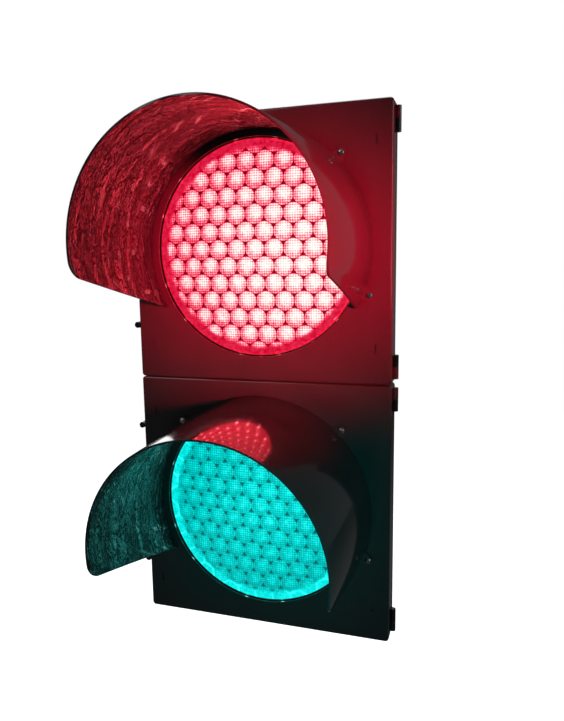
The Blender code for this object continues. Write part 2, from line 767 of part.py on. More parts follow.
def make_coupling(materials):
    """The seal, hollow tube and ring nuts that hold the two shells together."""
    reach = WALL + GAP / 2 + GAP
    seal = upright_lathe("section_seal", [(0.0270, SEAM - 0.0012), (0.0380, SEAM - 0.0012),
                                          (0.0380, SEAM + 0.0012), (0.0270, SEAM + 0.0012)],
                         materials["rubber"])
    tube = upright_lathe("coupling_tube", [(0.0200, SEAM - 0.016), (0.0243, SEAM - 0.016),
                                           (0.0243, SEAM + 0.016), (0.0200, SEAM + 0.016)],
                         materials["steel"])
    upper = make_ring_nut("coupling_nut_upper", SEAM + reach, SEAM + reach + 0.008, materials["steel"])
    lower = make_ring_nut("coupling_nut_lower", SEAM - reach, SEAM - reach - 0.008, materials["steel"])
    return [seal, tube, upper, lower]


def make_hub_plug(material):
    """The blanking plug of the top hub: a low cap over a collar that fills the bore."""
    cap = TOP + HUB_HEIGHT + GAP
    mesh_data = bmesh.new()
    rings = []
    for radius, z in ((HUB_BORE - GAP, TOP - 0.006), (HUB_BORE - GAP, cap), (0.0300, cap),
                      (0.0300, cap + 0.0025), (0.0285, cap + 0.004)):
        rings.append([
            mesh_data.verts.new((
                radius * math.cos(2 * math.pi * i / STEPS),
                radius * math.sin(2 * math.pi * i / STEPS),
                z,
            ))
            for i in range(STEPS)
        ])
    for first, second in zip(rings, rings[1:]):
        bridge(mesh_data, first, second)
    mesh_data.faces.new(rings[0])
    mesh_data.faces.new(rings[-1])
    return finish_object("top_hub_plug", mesh_data, material)


def make_cable_grommet(material):
    """The rubber grommet in the bottom hub, with a hole for the supply cable."""
    inside = HUB_HEIGHT + WALL + GAP / 2 + GAP
    profile = [
        (0.0090, 0.0010),
        (HUB_BORE - GAP, 0.0010),
        (HUB_BORE - GAP, inside),
        (0.0320, inside),
        (0.0320, inside + 0.003),
        (0.0090, inside + 0.003),
    ]
    return upright_lathe("cable_grommet", profile, material)


def make_terminal_block(material):
    """A six-way terminal strip on the back wall of the lower shell, with wire holes and screw wells."""
    back = BACK - WALL - GAP
    front = back - 0.020
    middle_z = 0.090
    mesh_data = bmesh.new()
    add_box(mesh_data, (-0.036, front, middle_z - 0.011), (0.036, back, middle_z + 0.011))
    block = finish_object("terminal_block", mesh_data, material, smooth=False)
    wells = bmesh.new()
    for i in range(6):
        x = -0.030 + 0.012 * i
        add_disc(wells, (x, middle_z), 0.0025, front - 0.001, front + 0.008, 8)
        low = (x - 0.002, front + 0.010, middle_z - 0.012)
        add_box(wells, low, (x + 0.002, front + 0.015, middle_z - 0.005))
    combine(block, make_tool("terminal_wells", wells), "DIFFERENCE")
    return block


# ---- assembly -----------------------------------------------------------------------------------------
def make_axis(name, location, pieces):
    """Parent pieces to an empty on their joint's axis, without moving them."""
    axis = bpy.data.objects.new(name, None)
    axis.empty_display_size = 0.03
    axis.location = location
    bpy.context.scene.collection.objects.link(axis)
    bpy.context.view_layer.update()
    for piece in pieces:
        piece.parent = axis
        piece.matrix_parent_inverse = axis.matrix_world.inverted()
    return axis


def make_section(section, middle_z, materials):
    """One section: its shell and hinge pins, and its door with all that rides on it."""
    make_housing(section, middle_z, materials["black"])
    for place, side in (("top", 1), ("bottom", -1)):
        middle = middle_z + side * HINGE_OFFSET
        make_hinge_pin(f"{section}_hinge_pin_{place}", middle - KNUCKLE_LENGTH - 0.0006,
                       middle + KNUCKLE_LENGTH + 0.0006, materials["steel"])

    riding = [
        make_door(section, middle_z, materials["black"]),
        make_door_gasket(section, middle_z, materials["rubber"]),
        make_visor(section, middle_z, materials["black"]),
        make_lens(section, middle_z, materials["red" if section == "upper" else "green"]),
        make_lens_gasket(section, middle_z, materials["rubber"]),
        make_module_case(section, middle_z, materials["grey"]),
        make_fresnel_lens(section, middle_z, materials["clear"]),
        make_led_board(section, middle_z, materials["board"]),
        make_driver_board(section, middle_z, materials["board"]),
        make_cable_gland(section, middle_z, materials["grey"]),
    ]
    for number, angle in enumerate(VISOR_TAB_ANGLES, 1):
        riding.append(make_screw(f"{section}_visor_screw_{number}",
                                 on_circle(middle_z, VISOR_TAB_CIRCLE, angle),
                                 FRONT - GAP - 0.003, 0.0040, 0.0024, 0.0018, 0.0095, materials["steel"]))
    for number, angle in enumerate(CLIP_ANGLES, 1):
        riding.extend(make_module_clip(section, middle_z, number, angle, materials["steel"]))

    for place, point in zip(("top", "bottom"), latch_points(middle_z)):
        name = f"{section}_latch_screw_{place}"
        screw = make_latch_screw(name, point, materials["black"])
        riding.append(make_axis(name + "_axis", (point[0], FRONT, point[1]), [screw]))
    make_axis(section + "_door_hinge", (HINGE_X, PARTING + GAP / 2, middle_z), riding)


def main():
    """Build the whole head in an empty scene."""
    for existing in list(bpy.data.objects):
        bpy.data.objects.remove(existing, do_unlink=True)
    materials = make_materials()
    for section, middle_z in SECTIONS.items():
        make_section(section, middle_z, materials)
    make_coupling(materials)
    make_hub_plug(materials["black"])
    make_cable_grommet(materials["rubber"])
    make_terminal_block(materials["terminal"])
    make_leads(materials["sheath"])


main()
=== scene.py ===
"""Looks of a two-section traffic signal head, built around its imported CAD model.

A red section stands over a green one. Each is a rear shell with a hinged door that carries an LED module,
a domed lens of hexagonal lenslets and a cut-away visor. Lengths are in metres, in the model's own frame.
"""

from __future__ import annotations

import logging
import math
from dataclasses import dataclass
from enum import Enum
from typing import Callable, Iterable, Sequence, Union

import bmesh
import bpy
from mathutils import Euler, Matrix, Vector


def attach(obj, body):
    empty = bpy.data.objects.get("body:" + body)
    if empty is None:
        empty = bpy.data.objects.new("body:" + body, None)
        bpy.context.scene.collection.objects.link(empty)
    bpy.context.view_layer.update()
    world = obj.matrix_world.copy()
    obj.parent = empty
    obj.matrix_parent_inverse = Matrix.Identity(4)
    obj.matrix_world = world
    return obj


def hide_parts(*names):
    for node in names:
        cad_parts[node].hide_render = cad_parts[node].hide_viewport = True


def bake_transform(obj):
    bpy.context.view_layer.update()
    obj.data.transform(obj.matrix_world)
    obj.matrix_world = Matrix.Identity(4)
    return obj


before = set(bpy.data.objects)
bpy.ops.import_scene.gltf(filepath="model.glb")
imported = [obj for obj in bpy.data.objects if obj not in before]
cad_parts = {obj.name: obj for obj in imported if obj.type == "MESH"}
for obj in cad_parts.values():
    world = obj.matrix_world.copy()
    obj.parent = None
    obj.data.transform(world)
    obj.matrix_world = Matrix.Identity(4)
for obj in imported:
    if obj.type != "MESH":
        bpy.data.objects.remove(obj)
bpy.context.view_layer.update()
LOG = logging.getLogger("signal_head")

GAP = 0.0003
HALF_X = 0.1825
HALF_Z = 0.17985
FRONT = -0.078
PARTING = -0.054
BACK = 0.058
WALL = 0.003
SEAM = 0.366
TOP = 0.726
HUB_HEIGHT = 0.006
HINGE_X = HALF_X + 0.0022
HINGE_Y = PARTING + GAP / 2
HINGE_OFFSET = 0.158
KNUCKLE_RADIUS = 0.0042
KNUCKLE_LENGTH = 0.016
LATCH_X = -HALF_X - 0.0052
LATCH_OFFSET = 0.105
EAR_RADIUS = 0.0048
EAR_FRONT = FRONT + 0.0105
FLANGE_DEPTH = 0.012
HALF_SECTION = 0.180
BOSS_RADIUS = 0.0045
TAB_THICK = 0.003
SCREW_CIRCLE = 0.166
VISOR_TABS = (-112.0, -45.0, 45.0, 112.0)
Y, Z = 1, 2
DUST_COLOR = (0.36, 0.34, 0.31)
DARKER, LIGHTER, WORN = 0.8, 1.25, 1.6
FINE = 120
MEDIUM = 64
SMALL = 32

Shape = bpy.types.Object
Node = bpy.types.Node
Tree = bpy.types.NodeTree
Socket = bpy.types.NodeSocket
Value = Union[float, Socket]


class Section(Enum):
    """The two sections of the head, with the height of each one's middle."""

    UPPER = 0.546
    LOWER = 0.186

    @property
    def label(self) -> str:
        """The word that starts this section's piece names."""
        return self.name.lower()

    @property
    def door_body(self) -> str:
        """The moving body that this section's door belongs to."""
        return f"{self.label}_door"


class Pick(Enum):
    """What kind of element an edit works on."""

    VERT = "VERT"
    EDGE = "EDGE"
    FACE = "FACE"


# ---- modelling ----------------------------------------------------------------------------------------
class Bench:
    """Modelling steps, each a few of Blender's own operators."""

    @staticmethod
    def clear() -> None:
        """Deselect every object."""
        bpy.ops.object.select_all(action="DESELECT")

    @staticmethod
    def take(piece: Shape) -> None:
        """Make one piece the only selected and active object."""
        Bench.clear()
        piece.select_set(True)
        bpy.context.view_layer.objects.active = piece

    @staticmethod
    def settle(name: str) -> Shape:
        """Name the active object and apply its place, turn and scale to its mesh."""
        piece = bpy.context.view_layer.objects.active
        piece.name = name
        piece.data.name = name
        bpy.ops.object.transform_apply(location=True, rotation=True, scale=True)
        return piece

    @staticmethod
    def box(name: str, low: Sequence[float], high: Sequence[float]) -> Shape:
        """A box between two corners."""
        Bench.clear()
        low, high = Vector(low), Vector(high)
        bpy.ops.mesh.primitive_cube_add(size=1.0, location=(low + high) / 2)
        bpy.context.view_layer.objects.active.scale = high - low
        return Bench.settle(name)

    @staticmethod
    def drum(name: str, place: Sequence[float], radius: float, start: float, end: float,
             sides: int = MEDIUM, upright: bool = False) -> Shape:
        """A cylinder along Y, or along Z when it is upright.

        Args:
            name: The piece's name.
            place: Its centre as (x, z), or as (x, y) when it is upright.
            radius: Its radius.
            start: Where it starts along its axis.
            end: Where it ends along its axis.
            sides: How many sides it has.
            upright: Whether its axis is Z.

        Returns:
            The cylinder.
        """
        Bench.clear()
        middle = (start + end) / 2
        location = (place[0], place[1], middle) if upright else (place[0], middle, place[1])
        bpy.ops.mesh.primitive_cylinder_add(vertices=sides, radius=radius, depth=abs(end - start),
                                            location=location,
                                            rotation=(0, 0, 0) if upright else (math.pi / 2, 0, 0))
        return Bench.settle(name)

    @staticmethod
    def edit(piece: Shape, pick: Pick, test: Callable[[object], bool]) -> None:
        """Open a piece for editing with only the elements that pass the test selected."""
        Bench.take(piece)
        bpy.ops.object.mode_set(mode="EDIT")
        bpy.ops.mesh.select_mode(type=pick.value)
        Bench.select(piece, pick, test)

    @staticmethod
    def select(piece: Shape, pick: Pick, test: Callable[[object], bool]) -> None:
        """Select the elements of the open piece that pass the test."""
        bpy.ops.mesh.select_all(action="DESELECT")
        shape = bmesh.from_edit_mesh(piece.data)
        elements = {Pick.VERT: shape.verts, Pick.EDGE: shape.edges, Pick.FACE: shape.faces}[pick]
        for element in elements:
            if test(element):
                element.select_set(True)
        bmesh.update_edit_mesh(piece.data)

    @staticmethod
    def close() -> None:
        """Leave edit mode."""
        bpy.ops.object.mode_set(mode="OBJECT")

    @staticmethod
    def chain(name: str, points: Sequence[Sequence[float]], loop: bool) -> Shape:
        """Draw a line of edges through points, left open for editing with all of it selected."""
        Bench.clear()
        bpy.ops.mesh.primitive_plane_add(size=0.001, location=points[0])
        piece = Bench.settle(name)
        bpy.ops.object.mode_set(mode="EDIT")
        bpy.ops.mesh.select_mode(type="VERT")
        bpy.ops.mesh.select_all(action="SELECT")
        bpy.ops.mesh.merge(type="CENTER")
        for near, far in zip(points, points[1:]):
            step = Vector(far) - Vector(near)
            bpy.ops.mesh.extrude_region_move(TRANSFORM_OT_translate={"value": step})
        if loop:
            ends = (Vector(points[0]), Vector(points[-1]))
            Bench.select(piece, Pick.VERT, lambda v: min((v.co - e).length for e in ends) < 1e-6)
            bpy.ops.mesh.edge_face_add()
        bpy.ops.mesh.select_all(action="SELECT")
        return piece

    @staticmethod
    def turned(name: str, profile: Sequence[Sequence[float]], place: Sequence[float] = (0.0, 0.0),
               steps: int = FINE, loop: bool = False, upright: bool = False) -> Shape:
        """Draw a profile of (radius, distance along the axis) and spin it.

        Args:
            name: The piece's name.
            profile: The profile's points, from end to end.
            place: The axis as (x, z), or as (x, y) when it is upright.
            steps: How many steps the spin takes.
            loop: Whether the profile closes on itself, as a ring's does.
            upright: Whether the axis is Z instead of Y.

        Returns:
            The turned piece.
        """
        if upright:
            points = [(place[0] + r, place[1], along) for r, along in profile]
            centre, axis = (place[0], place[1], 0), (0, 0, 1)
        else:
            points = [(place[0] + r, along, place[1]) for r, along in profile]
            centre, axis = (place[0], 0, place[1]), (0, 1, 0)
        piece = Bench.chain(name, points, loop)
        bpy.ops.mesh.spin(steps=steps, angle=math.tau, center=centre, axis=axis)
        bpy.ops.mesh.select_all(action="SELECT")
        bpy.ops.mesh.remove_doubles(threshold=2e-6)
        Bench.outward()
        Bench.close()
        return piece

    @staticmethod
    def slab(name: str, outline: Sequence[Sequence[float]], depth: Sequence[float]) -> Shape:
        """Draw a flat outline, fill it and extrude it by the depth vector."""
        piece = Bench.chain(name, outline, loop=True)
        bpy.ops.mesh.edge_face_add()
        bpy.ops.mesh.extrude_region_move(TRANSFORM_OT_translate={"value": Vector(depth)})
        Bench.outward()
        Bench.close()
        return piece

    @staticmethod
    def outward() -> None:
        """Select all of the open piece and turn its faces outwards."""
        bpy.ops.mesh.select_all(action="SELECT")
        bpy.ops.mesh.normals_make_consistent(inside=False)

    @staticmethod
    def apply(piece: Shape, kind: str, **settings: object) -> None:
        """Add a modifier of a kind with its settings and apply it."""
        modifier = piece.modifiers.new(kind.lower(), kind)
        for key, value in settings.items():
            setattr(modifier, key, value)
        Bench.take(piece)
        bpy.ops.object.modifier_apply(modifier=modifier.name)

    @staticmethod
    def join(tools: Sequence[Shape]) -> Shape:
        """Join several separate solids into one object."""
        Bench.take(tools[0])
        for tool in tools:
            tool.select_set(True)
        bpy.ops.object.join()
        return tools[0]

    @staticmethod
    def combine(piece: Shape, tools: Iterable[Shape], operation: str) -> None:
        """Add, cut or intersect a piece with tools that are clear of each other."""
        tool = Bench.join(list(tools))
        Bench.apply(piece, "BOOLEAN", object=tool, operation=operation, solver="EXACT")
        bpy.data.objects.remove(tool, do_unlink=True)

    @staticmethod
    def bevel(piece: Shape, test: Callable[[object], bool], width: float, segments: int) -> None:
        """Round the edges that pass the test."""
        Bench.edit(piece, Pick.EDGE, test)
        bpy.ops.mesh.bevel(offset=width, segments=segments, affect="EDGES", profile=0.5)
        Bench.close()

    @staticmethod
    def copy(piece: Shape, name: str, shift: Sequence[float], turn: float = 0.0,
             about: Sequence[float] = (0.0, 0.0, 0.0)) -> Shape:
        """Copy a piece with its own mesh, turned about Y and shifted.

        Args:
            piece: The piece to copy.
            name: The copy's name.
            shift: How far it moves after it is turned.
            turn: The angle about Y, in radians.
            about: The point that it turns about.

        Returns:
            The copy.
        """
        Bench.take(piece)
        bpy.ops.object.duplicate()
        twin = bpy.context.view_layer.objects.active
        twin.name = name
        twin.data.name = name
        centre = Matrix.Translation(Vector(about))
        turning = centre @ Matrix.Rotation(turn, 4, "Y") @ centre.inverted()
        twin.data.transform(Matrix.Translation(Vector(shift)) @ turning)
        return twin

    @staticmethod
    def smooth(piece: Shape, angle: float = 35.0) -> None:
        """Shade a piece smooth across edges flatter than an angle in degrees."""
        Bench.take(piece)
        bpy.ops.object.shade_smooth_by_angle(angle=math.radians(angle))


def around(section: Section, radius: float, angle: float) -> tuple[float, float]:
    """The (x, z) point on a circle about a lens axis, with the angle in degrees from the top."""
    turn = math.radians(angle)
    return (radius * math.sin(turn), section.value + radius * math.cos(turn))


def level(place: float, axis: int = Y) -> Callable[[object], bool]:
    """A test for edges and faces that lie wholly at one place along an axis."""
    return lambda element: all(abs(v.co[axis] - place) < 1e-5 for v in element.verts)


def running(axis: int, least: float) -> Callable[[object], bool]:
    """A test for edges that run more than a length along an axis."""
    return lambda edge: abs(edge.verts[0].co[axis] - edge.verts[1].co[axis]) > least


# ---- shading ------------------------------------------------------------------------------------------
class Shader:
    """Adds nodes to a node tree and joins them."""

    def __init__(self, tree: Tree) -> None:
        """Work on one tree."""
        self.tree = tree

    def node(self, kind: str, inputs: dict | None = None, **settings: object) -> Node:
        """Add a node.

        Args:
            kind: The node's type name.
            inputs: Values or sockets for its inputs, by name or number.
            settings: Its own settings.

        Returns:
            The node.
        """
        made = self.tree.nodes.new(kind)
        for key, value in settings.items():
            setattr(made, key, value)
        for key, value in (inputs or {}).items():
            self.feed(made.inputs[key], value)
        return made

    def feed(self, target: Socket, value: object) -> None:
        """Link a socket to an input, or set a plain value on it."""
        if isinstance(value, Socket):
            self.tree.links.new(value, target)
        else:
            target.default_value = value

    def math(self, operation: str, first: Value, second: Value = 0.0,
             clamp: bool = False) -> Socket:
        """The result of a Math node."""
        made = self.node("ShaderNodeMath", {0: first, 1: second}, operation=operation, use_clamp=clamp)
        return made.outputs[0]

    def times(self, first: Value, second: Value, clamp: bool = False) -> Socket:
        """The product of two values."""
        return self.math("MULTIPLY", first, second, clamp=clamp)

    def plus(self, first: Value, second: Value) -> Socket:
        """The sum of two values."""
        return self.math("ADD", first, second)

    def vector(self, operation: str, first: object, second: object = (0.0, 0.0, 0.0)) -> Node:
        """A Vector Math node."""
        return self.node("ShaderNodeVectorMath", {0: first, 1: second}, operation=operation)

    def span(self, value: Value, low: float, high: float, to_low: float = 0.0,
             to_high: float = 1.0) -> Socket:
        """Map a value smoothly from one range to another."""
        made = self.node("ShaderNodeMapRange", {"Value": value, "From Min": low, "From Max": high,
                                                "To Min": to_low, "To Max": to_high},
                         interpolation_type="SMOOTHSTEP")
        return made.outputs["Result"]

    def mix(self, factor: Value, first: object, second: object, blend: str = "MIX") -> Socket:
        """Mix two colours."""
        made = self.node("ShaderNodeMix", {0: factor}, data_type="RGBA", blend_type=blend)
        self.feed(made.inputs[6], first)
        self.feed(made.inputs[7], second)
        return made.outputs[2]

    def noise(self, where: object, scale: float, detail: float = 3.0, roughness: float = 0.5,
              distortion: float = 0.0) -> Socket:
        """The value of a Noise Texture."""
        made = self.node("ShaderNodeTexNoise", {"Vector": where, "Scale": scale, "Detail": detail,
                                                "Roughness": roughness, "Distortion": distortion})
        return made.outputs[0]

    def place(self, scale: Sequence[float] = (1.0, 1.0, 1.0),
              shift: Sequence[float] = (0.0, 0.0, 0.0)) -> Socket:
        """Object coordinates, shifted and scaled."""
        where = self.node("ShaderNodeTexCoord").outputs["Object"]
        mapping = self.node("ShaderNodeMapping", {"Vector": where, "Scale": scale, "Location": shift})
        return mapping.outputs[0]

    def group(self, shared: Tree, inputs: dict) -> Node:
        """Place a shared node group with its inputs."""
        made = self.tree.nodes.new("ShaderNodeGroup")
        made.node_tree = shared
        for key, value in inputs.items():
            self.feed(made.inputs[key], value)
        return made


def rgba(color: Sequence[float]) -> tuple[float, float, float, float]:
    """A colour with full alpha."""
    return (color[0], color[1], color[2], 1.0)


class SharedEffects:
    """Node groups that several finishes use."""

    def __init__(self) -> None:
        """Build every group once."""
        self.skin = self._skin()
        self.cells = self._cells()

    @staticmethod
    def _new(name: str, inputs: Sequence[tuple[str, str, float]],
             outputs: Sequence[str]) -> tuple[Tree, Shader, Node, Node]:
        """Start a group with float and vector inputs and float outputs."""
        tree = bpy.data.node_groups.new(name, "ShaderNodeTree")
        for label, kind, default in inputs:
            socket = tree.interface.new_socket(label, in_out="INPUT", socket_type=kind)
            if kind == "NodeSocketFloat":
                socket.default_value = default
        for label in outputs:
            tree.interface.new_socket(label, in_out="OUTPUT", socket_type="NodeSocketFloat")
        shader = Shader(tree)
        return tree, shader, tree.nodes.new("NodeGroupInput"), tree.nodes.new("NodeGroupOutput")

    def _skin(self) -> Tree:
        """Mottling, grain, scuffs and settled dust of a moulded surface."""
        tree, shader, given, result = self._new(
            "moulded_skin",
            [("Vector", "NodeSocketVector", 0.0), ("Grain Scale", "NodeSocketFloat", 900.0)],
            ["Mottle", "Grain", "Scuff", "Dust"])
        where = given.outputs["Vector"]
        mottle = shader.noise(where, 14.0, 4.0, 0.55, 0.3)
        grain = shader.node("ShaderNodeTexNoise", {"Vector": where, "Scale": given.outputs["Grain Scale"],
                                                   "Detail": 2.0}).outputs[0]
        stretched = shader.vector("MULTIPLY", where, (55.0, 55.0, 9.0)).outputs[0]
        scratch = shader.noise(stretched, 6.0, 5.0, 0.7, 1.2)
        scuff = shader.times(shader.span(scratch, 0.60, 0.74), shader.span(mottle, 0.45, 0.7))
        facing = shader.node("ShaderNodeNewGeometry").outputs["Normal"]
        upward = shader.node("ShaderNodeSeparateXYZ", {0: facing}).outputs["Z"]
        patchy = shader.span(shader.noise(where, 60.0, 6.0, 0.65), 0.35, 0.75)
        dust = shader.times(shader.span(upward, 0.7, 1.0), patchy)
        for label, value in (("Mottle", mottle), ("Grain", grain), ("Scuff", scuff), ("Dust", dust)):
            shader.feed(result.inputs[label], value)
        return tree

    def _cells(self) -> Tree:
        """A honeycomb of unit pitch, points up, with each point's place in its cell."""
        tree, shader, given, result = self._new(
            "honeycomb", [("Vector", "NodeSocketVector", 0.0)], ["Edge", "Radius", "Across", "Up"])
        squeeze = (1.0, 1.0, 1.0 / math.sqrt(3.0))
        stretch = (1.0, 0.0, math.sqrt(3.0))
        flat = shader.vector("MULTIPLY", given.outputs["Vector"], squeeze).outputs[0]
        half = (0.5, 0.5, 0.5)
        offsets = []
        for start in ((0.5, 0.5, 0.5), (0.0, 0.0, 0.0)):
            moved = shader.vector("ADD", flat, start).outputs[0]
            folded = shader.vector("FRACTION", moved).outputs[0]
            centred = shader.vector("SUBTRACT", folded, half).outputs[0]
            offsets.append(shader.vector("MULTIPLY", centred, stretch).outputs[0])
        lengths = [shader.vector("LENGTH", offset).outputs["Value"] for offset in offsets]
        nearer = shader.math("LESS_THAN", lengths[1], lengths[0])
        chosen = shader.node("ShaderNodeMix", {0: nearer}, data_type="VECTOR")
        shader.feed(chosen.inputs[4], offsets[0])
        shader.feed(chosen.inputs[5], offsets[1])
        own = chosen.outputs[1]
        parts = shader.node("ShaderNodeSeparateXYZ", {0: own})
        across = shader.math("ABSOLUTE", parts.outputs["X"])
        up = shader.math("ABSOLUTE", parts.outputs["Z"])
        slanted = shader.plus(shader.times(across, 0.5), shader.times(up, 0.8660))
        edge = shader.times(shader.math("MAXIMUM", across, slanted), 2.0)
        radius = shader.vector("LENGTH", own).outputs["Value"]
        for label, value in (("Edge", edge), ("Radius", radius), ("Across", parts.outputs["X"]),
                             ("Up", parts.outputs["Z"])):
            shader.feed(result.inputs[label], value)
        return tree


@dataclass(frozen=True)
class SkinFinish:
    """A moulded, rubber, lacquered or metal surface with grain, mottling and a little dust."""

    name: str
    color: tuple[float, float, float]
    rough: tuple[float, float]
    grain_scale: float = 900.0
    grain_depth: float = 0.00002
    dust: float = 0.03
    scuff: float = 0.05
    metallic: float = 0.0
    coat: float = 0.0
    alpha: float = 1.0
    ripple: float = 0.0
    brushed: bool = False

    def build(self, effects: SharedEffects) -> bpy.types.Material:
        """Make the material.

        Args:
            effects: The shared node groups.

        Returns:
            The material.
        """
        material = bpy.data.materials.new(self.name)
        material.use_nodes = True
        shader = Shader(material.node_tree)
        surface = material.node_tree.nodes["Principled BSDF"]
        where = shader.place()
        skin = shader.group(effects.skin, {"Vector": where, "Grain Scale": self.grain_scale})
        mottled = shader.mix(skin.outputs["Mottle"], rgba([c * DARKER for c in self.color]),
                             rgba([min(1.0, c * LIGHTER) for c in self.color]))
        lighter = rgba([min(1.0, c * WORN + 0.02) for c in self.color])
        scuffed = shader.mix(shader.times(skin.outputs["Scuff"], self.scuff * 4, clamp=True),
                             mottled, lighter)
        dusty = shader.mix(shader.times(skin.outputs["Dust"], self.dust), scuffed,
                           rgba(DUST_COLOR))
        shader.feed(surface.inputs["Base Color"], dusty)
        rough = shader.span(skin.outputs["Mottle"], 0.3, 0.7, self.rough[0], self.rough[1])
        worn = shader.plus(rough, shader.times(skin.outputs["Scuff"], self.scuff))
        dulled = shader.plus(worn, shader.times(skin.outputs["Dust"], self.dust * 2))
        shader.feed(surface.inputs["Roughness"], dulled)
        height = shader.times(skin.outputs["Grain"], self.grain_depth)
        if self.ripple:
            around = shader.vector("MULTIPLY", where, (0.30, 1.0, 0.30)).outputs[0]
            streaks = shader.noise(around, 38.0, 4.0, 0.60, 1.8)
            flecks = shader.span(shader.noise(where, 95.0, 2.0, 0.6, 0.8), 0.55, 0.70)
            waves = shader.plus(streaks, shader.times(flecks, 0.20))
            height = shader.plus(height, shader.times(waves, self.ripple))
        if self.brushed:
            lines = shader.noise(shader.vector("MULTIPLY", where, (1.0, 0.06, 1.0)).outputs[0], 2600.0, 2.0)
            height = shader.plus(height, shader.times(lines, 0.00003))
        bump = shader.node("ShaderNodeBump", {"Height": height, "Distance": 1.0, "Strength": 1.0})
        shader.feed(surface.inputs["Normal"], bump.outputs[0])
        surface.inputs["Metallic"].default_value = self.metallic
        surface.inputs["Coat Weight"].default_value = self.coat
        surface.inputs["Coat Roughness"].default_value = 0.04
        surface.inputs["Alpha"].default_value = self.alpha
        return material


